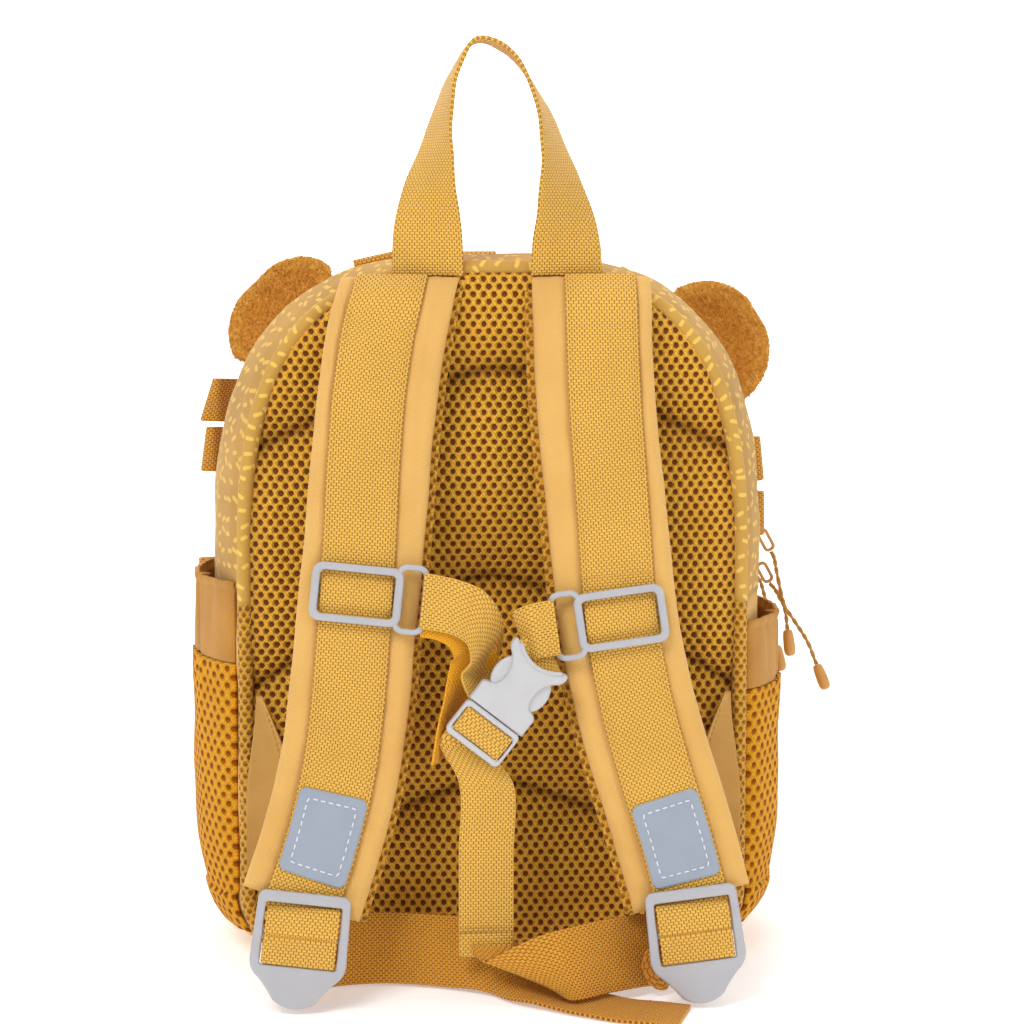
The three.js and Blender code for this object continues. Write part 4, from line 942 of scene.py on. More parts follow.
def back_panel():
    """Padded mesh panel with its grooves, a little wider than seen so that it ends under the rim."""
    sizes = (PANEL_HALF + UNDER_RIM, PANEL_BASE - UNDER_RIM, PANEL_TOP + UNDER_RIM, CORNER - 1, 200, 130,
             arch_fall)
    outer, uv = plate(*sizes, panel_depth)
    inner = outer.copy()
    inner[:, :, 1] = PANEL_BACK
    panel = slab("back_panel_padded", outer, inner, uv)
    # Painted shade along the arched grooves and towards the panel's sides, where the rolled edge shades it.
    folds = []
    for i, row in enumerate(outer):
        for x, _, z in row:
            edge = clamp((PANEL_HALF + 2 - abs(x)) / 9)
            folds.append(groove_shade(x, z + arch_fall(x, i / len(outer))) + 0.45 * (1 - edge) ** 2)
    darken(panel, folds + [0.0] * len(folds))
    piece(panel, "mesh", "air_mesh", "back_panel")


back_panel()


def rim():
    """Rolled edge round the panel: printed cloth above the seam and mesh below it."""
    cut = {"y": BODY_BACK - RIM_RADIUS, "half": PANEL_EDGE_HALF, "base": BASE_LIFT,
           "top": BODY_HEIGHT - TOP_DROP}
    for name, path, look, slot_name in (("rolled_edge", arch(cut, 0, 130), "rim_print", "printed_cloth"),
                                        ("rolled_edge_net", cradle(cut, 0), "strap_mesh", "air_mesh")):
        fat = [RIM_RADIUS * (1 + 0.1 * wave(v[0] * 0.11, v[2] * 0.11)
                             + 0.05 * wave(v[0] * 0.3, v[2] * 0.3, 2))
               for v in path]
        piece(tube(name, np.array(path), fat, 14, out=(0, 1, 0)), look, slot_name, "rim")


rim()


def front_panel():
    """Plain domed front with piping, assumed because the photo doesn't show it."""
    cut = section(BODY_FRONT)
    back = BODY_FRONT + GAP

    def domed(offset):
        def depth(x, z, edge, peak):
            bulge = math.sin(min(1, edge / (BODY_HALF / 2)) * math.pi / 2)
            crease = 0.9 * wave(x * 0.03, z * 0.025, 3) * bulge
            return back + offset + FRONT_DOME * bulge + crease
        return depth

    sizes = (cut["half"], cut["base"], cut["top"], CORNER, 80, 60, lambda x, even: 0.0)
    outer, uv = plate(*sizes, domed(CLOTH))
    inner, _ = plate(*sizes, domed(0))
    piece(slab("front_cloth", outer, inner, uv), "plain", "plain_cloth", "front_panel")
    edge = (arch({**cut, "y": BODY_FRONT + 0.6}, -0.4, 120)
            + cradle({**cut, "y": BODY_FRONT + 0.6}, -0.2)[1:-1])
    piece(tube("front_piping", np.array(edge), 1.5, 10, out=(0, 1, 0), loop=True), "plain", "plain_cloth")


front_panel()

# Shoulder straps.
STRAP_ROWS = [
    (0.970, 0.325, 0.335, 0.00, 0.45, 1.00),
    (0.935, 0.348, 0.335, 0.125, 0.80, 1.00),
    (0.895, 0.372, 0.336, 0.180, 1.00, 1.00),
    (0.810, 0.405, 0.342, 0.30, 1.00, 1.00),
    (0.710, 0.432, 0.362, 0.43, 1.00, 0.80),
    (0.608, 0.455, 0.386, 0.55, 1.00, 0.50),
    (0.507, 0.482, 0.412, 0.65, 1.00, 0.20),
    (0.405, 0.508, 0.462, 0.74, 1.00, 0.10),
    (0.310, 0.545, 0.528, 0.83, 1.00, 0.00),
    (0.222, 0.602, 0.596, 0.92, 1.00, 0.00),
    (0.140, 0.672, 0.650, 1.00, 1.00, 0.00),
]
STRAP_START = PANEL_BACK - PANEL_THICK - PANEL_CROWN
STRAP_TOP = STRAP_ROWS[0][0] * BODY_HEIGHT
STRAP_END = STRAP_ROWS[-1][0] * BODY_HEIGHT
PAD_FACE = STRAP_THICK / 2
TACK_HEIGHTS = {"right": 169}
PAD_ROUND, MESH_ROUND = 4.5, 3
SEAM_STEP, SEAM_INSET = 3.4, 1.7
STRAP_LINES = {
    side: curve([(SIDES[side] * row[1 + (side == "right")] * BODY_HALF, STRAP_START - row[3] * STRAP_REACH,
                  row[0] * BODY_HEIGHT) for row in STRAP_ROWS]) for side in SIDES}


def strap_frame(side, height):
    """Middle of a strap at one height, with its directions, fullness and the webbing's middle."""
    line = STRAP_LINES[side]
    low, high = 0.0, 1.0
    for _ in range(24):
        middle = (low + high) / 2
        if line(middle)[2] > height:
            low = middle
        else:
            high = middle
    down = tangent(line, low)
    out = unit(vec(0, -1, 0) + down * down[1])
    level = float(smooth(height, 0.86 * BODY_HEIGHT, 0.96 * BODY_HEIGHT))
    across = unit(lerp(unit(np.cross(out, down)), vec(1, 0, 0), level))
    rows = sorted(STRAP_ROWS)
    _, _, _, _, full, shift = between(rows, height / BODY_HEIGHT)
    place = line(low)
    return {"place": place, "centre": place + across * SIDES[side] * WEBBING_SHIFT * shift, "down": down,
            "out": out, "across": across, "full": full, "shift": shift}


def webbing_lift(side, z):
    """How far the sewn webbing rises over the slider's hidden bar."""
    off = abs(z - SLIDER_HEIGHTS[side]) / LIFT_LENGTH
    return (HIDDEN_BAR + 1.5 * GAP) * float(smooth(1 - off, 0, 0.62)) if off < 1 else 0.0


def strap(side):
    """Padded body, mesh underside, sewn webbing and patch of one shoulder strap."""
    sign = SIDES[side]
    heights = np.linspace(STRAP_TOP, STRAP_END, 190)
    frames = [strap_frame(side, z) for z in heights]
    run = [0.0]
    for a, b in zip(frames, frames[1:]):
        run.append(run[-1] + float(np.linalg.norm(b["place"] - a["place"])))
    rows = list(zip(frames, run, heights))
    half = STRAP_WIDTH / 2

    def pad_at(row, c):
        here, s, z = row
        thick = PAD_FACE * here["full"]
        middle = sign * WEBBING_SHIFT * here["shift"]
        end = min(1.0, (STRAP_TOP - z) / 5 + 0.5, (z - STRAP_END) / 5 + 0.45)
        x = c * half
        side_round = round_off(half - abs(x), PAD_ROUND)
        beside = abs(x - middle) - WEBBING / 2
        spare = max(1.0, half - abs(middle) - WEBBING / 2)
        puff = 0.75 * math.sin(math.pi * clamp(beside / spare)) if beside > 0 else 0
        sink = -0.5 * math.exp(-abs(beside) / 1.0) if beside > -2 else 0
        crease = 0.34 * wave(x * 0.10 + 3 * sign, s * 0.17, 1) + 0.5 * wave(x * 0.05, s * 0.06, 7 + sign)
        relief = (puff + sink + crease * (beside > -1)) * side_round * end
        level = thick * (0.30 + 0.70 * side_round) * end + relief
        wobble = 0.35 * wave(s * 0.05, c, 3.0 + sign)
        place = here["place"] + here["across"] * (x + wobble * abs(c) ** 3)
        back = place - here["out"] * thick * (0.25 + 0.75 * side_round) * end
        return place + here["out"] * level, back, (x, s)

    pad = layered(f"strap_pad_{side}", rows, spread(45, 0.9), pad_at)
    piece(pad, "plain", "plain_cloth", f"strap_{side}")

    wide = half - 1

    def mesh_at(row, c):
        here, s, z = row
        full = here["full"]
        end = min(1.0, (z - STRAP_END) / 4 + 0.4)
        x = c * wide
        side_round = round_off(wide - abs(x), MESH_ROUND)
        lump = 0.3 * wave(s * 0.35, c * 2, 4)
        place = here["place"] + here["across"] * (x - sign * MESH_SHIFT + lump * abs(c) ** 4)
        middle = -(PAD_FACE * full + GAP) - MESH_THICK / 2 * full
        body = (MESH_THICK / 2) * full * (0.35 + 0.65 * side_round) * end
        rise = 1.2 * abs(c) ** 6 if c * sign < 0 else 0
        return (place + here["out"] * (middle + body + rise * full),
                place + here["out"] * (middle - body), (x, s))

    backing = layered(f"strap_mesh_backing_{side}", rows, spread(25, 0.92), mesh_at)
    piece(backing, "strap_mesh", "air_mesh", f"strap_mesh_{side}")

    def webbing_level(here, z):
        return PAD_FACE * here["full"] + GAP + webbing_lift(side, z)

    def webbing_at(row, edge):
        here, s, z = row
        a, b = edge
        level = webbing_level(here, z)
        ripple = 0.16 * wave(s * 0.22, 1.0, 9 + sign)
        dip = -0.12 * (abs(a) > 0.9)
        spot = here["centre"] + here["across"] * a * WEBBING / 2
        rise = level + WEBBING_THICK / 2 + b * WEBBING_THICK / 2 + dip + ripple * abs(a)
        return (spot + here["out"] * rise, spot
                + here["out"] * (level + WEBBING_THICK / 2 - b * WEBBING_THICK / 2),
                (a * WEBBING / 2, s))

    tape = layered(f"strap_webbing_sewn_{side}", rows, EDGE, webbing_at)
    piece(tape, "webbing", "webbing", f"strap_webbing_{side}")

    places, normals, ways = [], [], []
    next_stitch = 2.0
    for here, s, z in rows:
        if s > next_stitch and abs(z - SLIDER_HEIGHTS[side]) > LIFT_LENGTH + 6:
            next_stitch = s + SEAM_STEP
            for a in (-1, 1):
                places.append(here["centre"] + here["across"] * a * (WEBBING / 2 - SEAM_INSET)
                              + here["out"] * (webbing_level(here, z) + WEBBING_THICK))
                normals.append(here["out"])
                ways.append(here["down"])
    if side in TACK_HEIGHTS:
        here = strap_frame(side, TACK_HEIGHTS[side])
        for i in range(11):
            across = here["across"] * lerp(-0.45, 0.45, i / 10) * WEBBING
            places.append(here["centre"] + across
                          + here["out"] * (PAD_FACE * here["full"] + GAP + WEBBING_THICK))
            normals.append(here["out"])
            ways.append(here["across"])
    piece(stitches(f"strap_stitches_{side}", places, normals, ways, 2.3, 0.42), "thread", "webbing")
    patch(side)


def patch(side):
    """Reflective patch on the webbing, with a row of pale stitches inside its edge."""
    sign = SIDES[side]
    rows, columns = 28, 24
    radius = 3.0
    high, wide = PATCH_LENGTH / 2, PATCH_WIDTH / 2
    under_level = PAD_FACE + GAP + WEBBING_THICK + 0.1

    def at(x, v, level):
        here = strap_frame(side, PATCH_HEIGHTS[side] + v)
        return (here["place"] + here["across"] * (x + sign * WEBBING_SHIFT * here["shift"])
                + here["out"] * (under_level + level)), here

    def film_at(i, j):
        v = math.sin(lerp(-1, 1, i / rows) * math.pi / 2) * high
        corner = max(0.0, abs(v) - (high - radius))
        reach = wide - radius + math.sqrt(max(0.0, radius ** 2 - corner ** 2))
        reach *= 1 + 0.012 * wave(v * 0.2, 1, sign)
        x = math.sin(lerp(-1, 1, j / columns) * math.pi / 2) * reach
        edge = min(reach - abs(x), high - abs(v))
        sunk = 0.25 * math.exp(-((edge - 3.8) / 0.5) ** 2)
        lift = PATCH_THICK * min(1, 0.45 + edge * 1.2) - sunk + 0.12 * wave(x * 0.1, v * 0.1, 2)
        return at(x, v, lift)[0], at(x, v, 0)[0], (x, v)

    film = layered(f"reflective_film_{side}", range(rows + 1), range(columns + 1), film_at)
    piece(film, "reflect", "reflective", f"reflective_patch_{side}")
    inset = 3.9
    w, h, r = wide - inset, high - inset, 1.5
    outline = [np.array(p) for p in rounded(-w, w, -h, h, r, 4)]
    outline.append(outline[0])
    lengths = [0.0]
    for a, b in zip(outline, outline[1:]):
        lengths.append(lengths[-1] + float(np.linalg.norm(b - a)))
    count = int(lengths[-1] / 3.1)
    places, normals, ways = [], [], []
    for k in range(count):
        s = (k + 0.5) * lengths[-1] / count
        x, v = (float(np.interp(s, lengths, [p[i] for p in outline])) for i in (0, 1))
        x2, v2 = (float(np.interp(min(s + 0.4, lengths[-1]), lengths, [p[i] for p in outline]))
                  for i in (0, 1))
        spot, here = at(x, v, PATCH_THICK - 0.12)
        ahead, _ = at(x2, v2, PATCH_THICK - 0.12)
        places.append(spot)
        normals.append(here["out"])
        ways.append(ahead - spot + vec(1e-9, 0, 0))
    piece(stitches(f"patch_stitches_{side}", places, normals, ways, 2.1, 0.55), "white_thread",
          "reflective")


for side_name in SIDES:
    strap(side_name)


# Sliders, buckle and ladder locks.
SLIDER_HALF = WEBBING / 2 + 2 * GAP + SLIDER_BAR
SLIDER_LEVEL = PAD_FACE + 2 * GAP + WEBBING_THICK + 4 * GAP + SLIDER_THICK / 2
LOOP_HALF = CHEST / 2 + 2 * GAP + SLIDER_BAR * 0.75


def bend_to(start, control, end, steps=8):
    """Points of a quadratic curve after its start."""
    start, control, end = (np.array(p, float) for p in (start, control, end))
    ways = [(i + 1) / steps for i in range(steps)]
    return [tuple((1 - t) ** 2 * start + 2 * t * (1 - t) * control + t * t * end) for t in ways]


def slider(side):
    """Chest strap slider with its side loop; returns the place and directions of the loop's bar."""
    sign = SIDES[side]
    high, bar = SLIDER_LENGTH / 2, SLIDER_BAR * 0.75
    inner, open_half = high - SLIDER_BAR, SLIDER_HALF - SLIDER_BAR
    far, near = SLIDER_HALF + LOOP_REACH, SLIDER_HALF - 1
    ring = flat_shape("ring", [rounded(-SLIDER_HALF, SLIDER_HALF, -high, high, 4.5, 8),
                               rounded(-open_half, open_half, -inner, inner, 2, 6)], SLIDER_THICK, 1.0)
    outline = rounded(near - bar, far, -LOOP_HALF, LOOP_HALF, 4.5, 8)
    opening = rounded(near, far - bar, bar - LOOP_HALF, LOOP_HALF - bar, 2.4, 6)
    loop = flat_shape("loop", [[(-sign * x, y) for x, y in line] for line in (outline, opening)],
                      SLIDER_THICK - 0.3, 0.9)
    drop = SLIDER_LEVEL - (PAD_FACE + GAP + HIDDEN_BAR / 2)
    hidden = block("hidden", 2 * SLIDER_HALF - SLIDER_BAR, 2.4, HIDDEN_BAR, 0.4)
    slide(hidden, 0, 0, -drop)
    legs = []
    for end in (-1, 1):
        leg = block("leg", SLIDER_BAR - 1, 5, drop + HIDDEN_BAR / 2, 0.4)
        slide(leg, end * (SLIDER_HALF - SLIDER_BAR / 2), 0, -(drop + HIDDEN_BAR / 2) / 2)
        legs.append(leg)
    here = strap_frame(side, SLIDER_HEIGHTS[side])
    place = here["centre"] + here["out"] * SLIDER_LEVEL
    up = -here["down"]
    whole = seat(join(f"slider_body_{side}", ring, loop, hidden, *legs), place, here["across"], up)
    piece(whole, "plastic", "grey_plastic", f"sternum_slider_{side}")
    return {"place": place - here["across"] * sign * (far - bar / 2), "across": here["across"], "up": up,
            "out": here["out"]}


BUCKLE_UP = vec(math.cos(BUCKLE_ANGLE), 0, math.sin(BUCKLE_ANGLE))
BUCKLE_ACROSS = vec(math.sin(BUCKLE_ANGLE), 0, -math.cos(BUCKLE_ANGLE))


def on_buckle(x, y, z):
    """Place in the buckle's own directions: across, up along its length and out."""
    return vec(*BUCKLE_PLACE) + BUCKLE_ACROSS * x + BUCKLE_UP * y + vec(0, -z, 0)


def buckle():
    """Side-release buckle: ladder plate below and shell with two latch arms above."""
    half, window = BUCKLE_WIDTH / 2, CHEST / 2 + 2 * GAP
    frame_part = flat_shape("ladder", [rounded(-half, half, -BUCKLE_LADDER, -0.1, 2.2, 6),
                                       rounded(-window, window, LADDER_BAR - BUCKLE_LADDER, -LADDER_BAR, 1,
                                               4)],
                            LADDER_THICK, 0.7)
    bar = block("bar", BUCKLE_WIDTH - 2, LADDER_BAR, 2, 0.5)
    slide(bar, 0, -BUCKLE_LADDER / 2, 0)
    notches = []
    for end in (-1, 1):
        for low in (LADDER_BAR + 0.3, BUCKLE_LADDER - LADDER_BAR - 0.3):
            notch = block("notch", 2.0, 1.5, LADDER_THICK - 1.4, 0.4)
            slide(notch, end * (window - 0.3), -low, 0)
            notches.append(notch)
    ladder = seat(join("ladder_plate", frame_part, bar, *notches), BUCKLE_PLACE, BUCKLE_ACROSS, BUCKLE_UP)
    piece(ladder, "buckle", "grey_plastic", "buckle_ladder")

    tall, waist = BUCKLE_BODY, half * 0.60
    right = [(half, GAP), (half, tall * 0.27)]
    right += bend_to(right[-1], (half - 0.4, tall * 0.325), (waist + 2.6, tall * 0.335), 6)
    right += bend_to(right[-1], (waist - 0.8, tall * 0.36), (waist - 0.9, tall * 0.52), 10)
    right += bend_to(right[-1], (waist - 0.8, tall * 0.74), (half - 1.4, tall * 0.84), 12)
    right += bend_to(right[-1], (half + 0.9, tall * 0.92), (half, tall), 6)
    right += bend_to(right[-1], (half - 0.9, tall + 0.9), (half - 2.4, tall - 0.2), 6)
    top = bend_to(right[-1], (0, tall * 0.72), (-right[-1][0], right[-1][1]), 16)[:-1]
    outline = right + top + [(-x, y) for x, y in reversed(right)]
    body = flat_shape("body", [outline], BUCKLE_THICK, 1.25)
    arms = []
    for end in (-1, 1):
        ring = [(end * (half * 0.50 + 5.9 * math.cos(a)), tall * 0.55 + 8.2 * math.sin(a))
                for a in np.linspace(0, 2 * math.pi, 32, endpoint=False)]
        arms.append(flat_shape("arm", [ring], BUCKLE_THICK - 3.2, 0.9))
    lip = tube("lip", [(x * 0.97, y + 0.1, BUCKLE_THICK / 2 - 0.75) for x, y in
                       [right[-1]] + top + [(-right[-1][0], right[-1][1])]], 0.85, 8, out=(0, 0, 1))
    whole = seat(join("buckle_shell", body, lip, *arms), BUCKLE_PLACE, BUCKLE_ACROSS, BUCKLE_UP)
    piece(whole, "buckle", "grey_plastic", "buckle_body")


def lock_frame(side):
    """Place and directions of a ladder lock at the strap's lower end."""
    sign = SIDES[side]
    end = strap_frame(side, STRAP_END)
    place = end["centre"] + end["out"] * (PAD_FACE + GAP + WEBBING_THICK + 3 * GAP + LOCK_THICK / 2)
    place = place - end["down"] * (LOCK_TOP - place[2]) / abs(end["down"][2])
    up = unit(vec(-sign * 0.12, 0.12, 1))
    across = unit(vec(1, 0, 0) - up * up[0])
    return {"place": place, "across": across, "up": up, "out": unit(np.cross(across, up))}


LOCK_INNER = WEBBING / 2 + 2 * GAP
LOCK_HALF = LOCK_INNER + LOCK_BAR * 0.8
WINDOW_TOP = -LOCK_BAR - 0.5
WINDOW_FOOT = -LOCK_LENGTH * 0.66
WINDOW_MIDDLE = (WINDOW_TOP + WINDOW_FOOT) / 2
BEHIND_LOCK = -LOCK_THICK / 2 - WEBBING_THICK / 2 - GAP


def lock(side):
    """Ladder lock with a pointed tongue and a bar across its window."""
    here = lock_frame(side)
    right = [(LOCK_HALF - 3, 0)]
    right += bend_to(right[-1], (LOCK_HALF - 0.6, -0.2), (LOCK_HALF, -3), 5)
    right += [(LOCK_HALF + 0.7, WINDOW_FOOT + 6)]
    right += bend_to(right[-1], (LOCK_HALF + 1.6, WINDOW_FOOT - 0.5), (LOCK_HALF * 0.84, WINDOW_FOOT - 4),
                     7)
    right += bend_to(right[-1], (LOCK_HALF * 0.66, WINDOW_FOOT - 7), (LOCK_HALF * 0.46, 3.2 - LOCK_LENGTH),
                     7)
    right += bend_to(right[-1], (LOCK_HALF * 0.26, -LOCK_LENGTH + 0.2), (0, -LOCK_LENGTH + 0.1), 8)
    outline = right + [(-x, y) for x, y in reversed(right[:-1])]
    hole = rounded(-LOCK_INNER, LOCK_INNER, WINDOW_FOOT + 1, WINDOW_TOP, 0.9, 4)
    plate_body = flat_shape("plate", [outline, hole], LOCK_THICK, 0.9)
    bar = block("bar", 2 * LOCK_INNER + 2, 2.2, 1.6, 0.5)
    slide(bar, 0, WINDOW_MIDDLE, 0.8 - LOCK_THICK / 2)
    whole = seat(join(f"lock_plate_{side}", plate_body, bar), here["place"], here["across"], here["up"])
    piece(whole, "plastic", "grey_plastic", f"ladder_lock_{side}")


def lock_place(here, x, y, z):
    """Place in a lock's own directions: across, up and out."""
    return here["place"] + here["across"] * x + here["up"] * y + here["out"] * z


# Loose webbing.
def row_of_stitches(name, rows, share, width, thick, look="thread", slot="webbing", sides=(1,), count=9,
                    margin=1.5):
    """Stitches across a strip of webbing at a share of its length."""
    line, ways = strip_lines(rows)
    place, side = line(share), unit(ways(share))
    face = unit(np.cross(tangent(line, share), side))
    places, normals, along = [], [], []
    for s in sides:
        for i in range(count):
            a = lerp(margin - width / 2, width / 2 - margin, i / (count - 1))
            places.append(place + side * a + face * s * (thick / 2 + 0.05))
            normals.append(face * s)
            along.append(side)
    obj = stitches(name, places, normals, along, (width - 2 * margin) / count * 0.82, 0.5)
    return piece(obj, look, slot)


def hem(name, rows, share, width, thick, side, look="webbing"):
    """The end of a strip folded over once more and sewn."""
    line, ways = strip_lines(rows)
    back = []
    for i in range(7):
        t = lerp(share, 1.0, i / 6)
        across = unit(ways(t))
        face = unit(np.cross(tangent(line, t), across))
        lift = (thick + 0.25) * (1 if i < 6 else 0.8)
        back.append([line(t) + face * side * lift, across])
    fold = strip(name, back, width - 0.5, thick, 14)
    return piece(fold, look, "webbing")


def chest_strap(left, right):
    """Left and right webbing of the chest strap, the layer under it and the hanging tail."""
    def at(loop, across, up, out):
        shift = loop["across"] * across * CHEST + loop["up"] * up * CHEST
        return loop["place"] + shift + loop["out"] * out * CHEST

    behind = -LADDER_THICK / 2 - CHEST_THICK / 2 - 1.5 * GAP
    bar = -BUCKLE_LADDER / 2
    over = 1 + CHEST_THICK / 2 + GAP

    def round_bar(way):
        places = (2.3, -0.84), (2.2, -0.2), (1.85, 0.28), (1.1, 0.46)
        rows = [(y * LADDER_BAR, z * LADDER_THICK) for y, z in places]
        return [[on_buckle(0, bar + way * y, z), BUCKLE_ACROSS] for y, z in rows + [(-0.5, over + 0.12)]]

    rows = [
        [at(left, -0.05, 0, 0.1), left["up"]],
        [at(left, 0.14, -0.01, 0.1), left["up"]],
        [at(left, 0.55, -0.06, 0.17), left["up"]],
        [at(left, 0.95, -0.22, 0.15), left["up"] + vec(0.25, 0, 0)],
        [at(left, 1.20, -0.66, -0.04), vec(0.60, 0.45, 0.62)],
        [at(left, 1.12, -1.18, -0.24), vec(0.62, 0.66, -0.02)],
        [on_buckle(-3, 2, behind - 2.2), vec(0.80, 0.25, -0.4)],
    ] + round_bar(1)
    tape = strip("chest_tape_left", rows, CHEST, CHEST_THICK, 150, 0.25)
    piece(tape, "webbing", "webbing", "chest_webbing_left")
    row_of_stitches("chest_stitches_left", rows, 0.235, CHEST, CHEST_THICK)

    under_rows = [
        [at(left, -0.02, -0.20, -0.04), left["up"]],
        [at(left, 0.25, -0.22, 0.00), left["up"]],
        [at(left, 0.60, -0.33, 0.03), left["up"] + vec(0.2, 0, 0)],
        [at(left, 0.92, -0.62, -0.06), vec(0.70, 0.20, 0.65)],
        [at(left, 1.00, -1.05, -0.22), vec(0.90, 0.35, -0.05)],
        [at(left, 0.80, -1.65, -0.36), vec(0.60, 0.75, 0)],
        [at(left, 0.64, -2.20, -0.42), vec(0.35, 0.90, 0)],
        [at(left, 0.56, -2.84, -0.44), vec(0.30, 0.95, 0)],
    ]
    under = strip("chest_tape_under", under_rows, CHEST - 2, 1.0, 110, 0.3)
    # The under layer takes the copy of the webbing with painted bounced light.
    piece(under, "bounce_lit_under_webbing", "webbing")

    hang = on_buckle(0, -BUCKLE_LADDER - 2, behind)

    def drop(share):
        return vec(-0.045 * BODY_HALF, hang[1] + 3 * share, hang[2] - share * TAIL_LENGTH)

    tail_rows = round_bar(-1)[::-1] + [
        [on_buckle(-1, -BUCKLE_LADDER - 1, behind - 0.8), BUCKLE_ACROSS + vec(0.6, 0, 0.3)],
        [drop(0.16), vec(1, 0, -0.06)],
        [drop(0.5), vec(1, 0, -0.01)],
        [drop(1), vec(1, 0, 0.01)],
    ]
    tail = strip("chest_tape_tail", tail_rows, CHEST, CHEST_THICK, 120, 0.3)
    piece(tail, "webbing", "webbing", "chest_tail")
    hem("chest_tape_hem", tail_rows, 0.972, CHEST, CHEST_THICK, 1)
    row_of_stitches("chest_hem_stitches", tail_rows, 0.966, CHEST, CHEST_THICK, "pull", sides=(1, -1),
                    count=10)

    under_buckle = -BUCKLE_THICK / 2 - CHEST_THICK / 2 - GAP
    rows = [
        [at(right, 0.05, 0, 0.1), right["up"]],
        [at(right, -0.14, 0, 0.1), right["up"]],
        [at(right, -0.40, -0.02, 0.12), right["up"]],
        [at(right, -0.60, -0.12, -0.10), right["up"] + vec(-0.2, 0, 0)],
        [on_buckle(1, BUCKLE_BODY + 4, under_buckle - 3.5), vec(-0.4, 0.1, 0.9)],
        [on_buckle(0, BUCKLE_BODY - 5, under_buckle - 0.4), -BUCKLE_ACROSS],
    ]
    piece(strip("chest_tape_right", rows, CHEST, CHEST_THICK, 90, 0.2), "webbing", "webbing",
          "chest_webbing_right")


chest_strap(slider("left"), slider("right"))
buckle()

TAIL_ROWS = {
    "left": [
        (-0.62, 0.72, 0.54, (0.1, 0.1, 1)),
        (-0.42, 0.50, 0.53, (0, 0.2, 1)),
        (-0.20, 0.62, 0.53, (0, 0.2, 1)),
        (-0.04, 0.76, 0.50, (0, 0.45, 0.9)),
        (0.14, 1.00, 0.16, (0.3, 0.95, 0.12)),
        (0.36, 1.35, 0.05, (0.35, 0.95, 0)),
        (0.60, 1.62, 0.05, (0.3, 0.95, 0)),
    ],
    "right": [
        (0.56, 0.86, 0.60, (-0.1, 0.1, 1)),
        (0.38, 1.02, 0.62, (-0.1, 0.3, 0.95)),
        (0.22, 1.22, 0.58, (-0.3, 0.4, 0.85)),
        (0.06, 1.18, 0.46, (-0.9, 0.2, 0.3)),
        (0.02, 1.02, 0.76, (-1, 0, 0.05)),
    ],
}
WING_TOP, WING_FOOT, WING_REACH, WING_FOLD = 116, 42, 15, 5
WING_OUT = 4.5
WING_FACE = PANEL_BACK - PANEL_THICK / 2 - 2 * GAP
WING_ROOT = PANEL_HALF - GAP
LOWER_SHADE = 0.62


def lock_webbing(side):
    """Short tape that holds a lock, and the long tape from the wing through the lock to the floor."""
    sign = SIDES[side]
    here = lock_frame(side)
    end = strap_frame(side, STRAP_END)
    start = end["centre"] + end["out"] * (PAD_FACE + GAP + WEBBING_THICK / 2) + end["down"] * GAP
    rows = [
        [start, end["across"]],
        [lock_place(here, 0, WINDOW_TOP - 1.4, BEHIND_LOCK + 0.6), here["across"]],
        [lock_place(here, 0, WINDOW_TOP - 4.0, 0.6), here["across"]],
        [lock_place(here, 0, WINDOW_MIDDLE + 4.5, 1.5), here["across"]],
        [lock_place(here, 0, WINDOW_MIDDLE + 0.9, 1.3), here["across"]],
        [lock_place(here, 0, WINDOW_MIDDLE + 0.3, 0.3), here["across"]],
    ]
    piece(strip(f"lock_tape_{side}", rows, WEBBING, WEBBING_THICK, 60, 0.12), "webbing", "webbing",
          f"lock_webbing_{side}")

    wing_out = vec(sign * (WING_ROOT - WING_REACH - GAP), WING_FACE - WING_FOLD - CLOTH,
                   lerp(WING_TOP, WING_FOOT, 0.42))
    rows = [
        [wing_out, vec(0.25, 0, sign)],
        [lerp(wing_out, here["place"], 0.3) + vec(-sign * 5, 2, -2), vec(0.6, 0, sign * 0.7)],
        [lerp(wing_out, here["place"], 0.62) + vec(-sign * 2, 6, -15), vec(0.95, 0, sign * 0.2)],
        [lock_place(here, 0, WINDOW_MIDDLE - 1, -8), here["across"]],
        [lock_place(here, 0, WINDOW_MIDDLE - 1.6, BEHIND_LOCK), here["across"]],
        [lock_place(here, 0, WINDOW_MIDDLE - 0.9, 0.9), here["across"]],
        [lock_place(here, 0, WINDOW_MIDDLE - 4.5, 1.7), here["across"]],
        [lock_place(here, 0, WINDOW_FOOT + 4.6, 1.7), here["across"]],
        [lock_place(here, 0, WINDOW_FOOT + 2.1, 0.7), here["across"]],
        [lock_place(here, 0, WINDOW_FOOT + 2.2, BEHIND_LOCK - 0.4), here["across"]],
        [lock_place(here, -sign * 5, WINDOW_FOOT - 1, -6.5), vec(0.8, 0.1, -sign * 0.6)],
    ]
    for x, y, z, way in TAIL_ROWS[side]:
        rows.append([vec(x * BODY_HALF, PANEL_BACK - PANEL_THICK - y * STRAP_REACH, z * WEBBING),
                     vec(*way)])
    tape = strip(f"lower_tape_{side}", rows, WEBBING, WEBBING_THICK, 300, 0.2)
    # Painted shade on the lower tape everywhere but where it shows in the lock's window.
    shares = []
    for vertex in tape.data.vertices:
        away = np.array(vertex.co) / MM - here["place"]
        rise, front = float(away @ here["up"]), float(away @ here["out"])
        beside = abs(float(away @ here["across"]))
        in_window = WINDOW_FOOT < rise < WINDOW_TOP and front > -LOCK_THICK and beside < LOCK_INNER + 1
        shares.append(0.0 if in_window else LOWER_SHADE)
    darken(tape, shares)
    piece(tape, "shaded_low_webbing", "webbing", f"lower_webbing_{side}")
    if side == "left":
        hem("lower_tape_hem", rows, 0.975, WEBBING, WEBBING_THICK, -1)
        row_of_stitches("lower_hem_stitches", rows, 0.968, WEBBING, WEBBING_THICK, "pull", sides=(1, -1),
                        count=11)


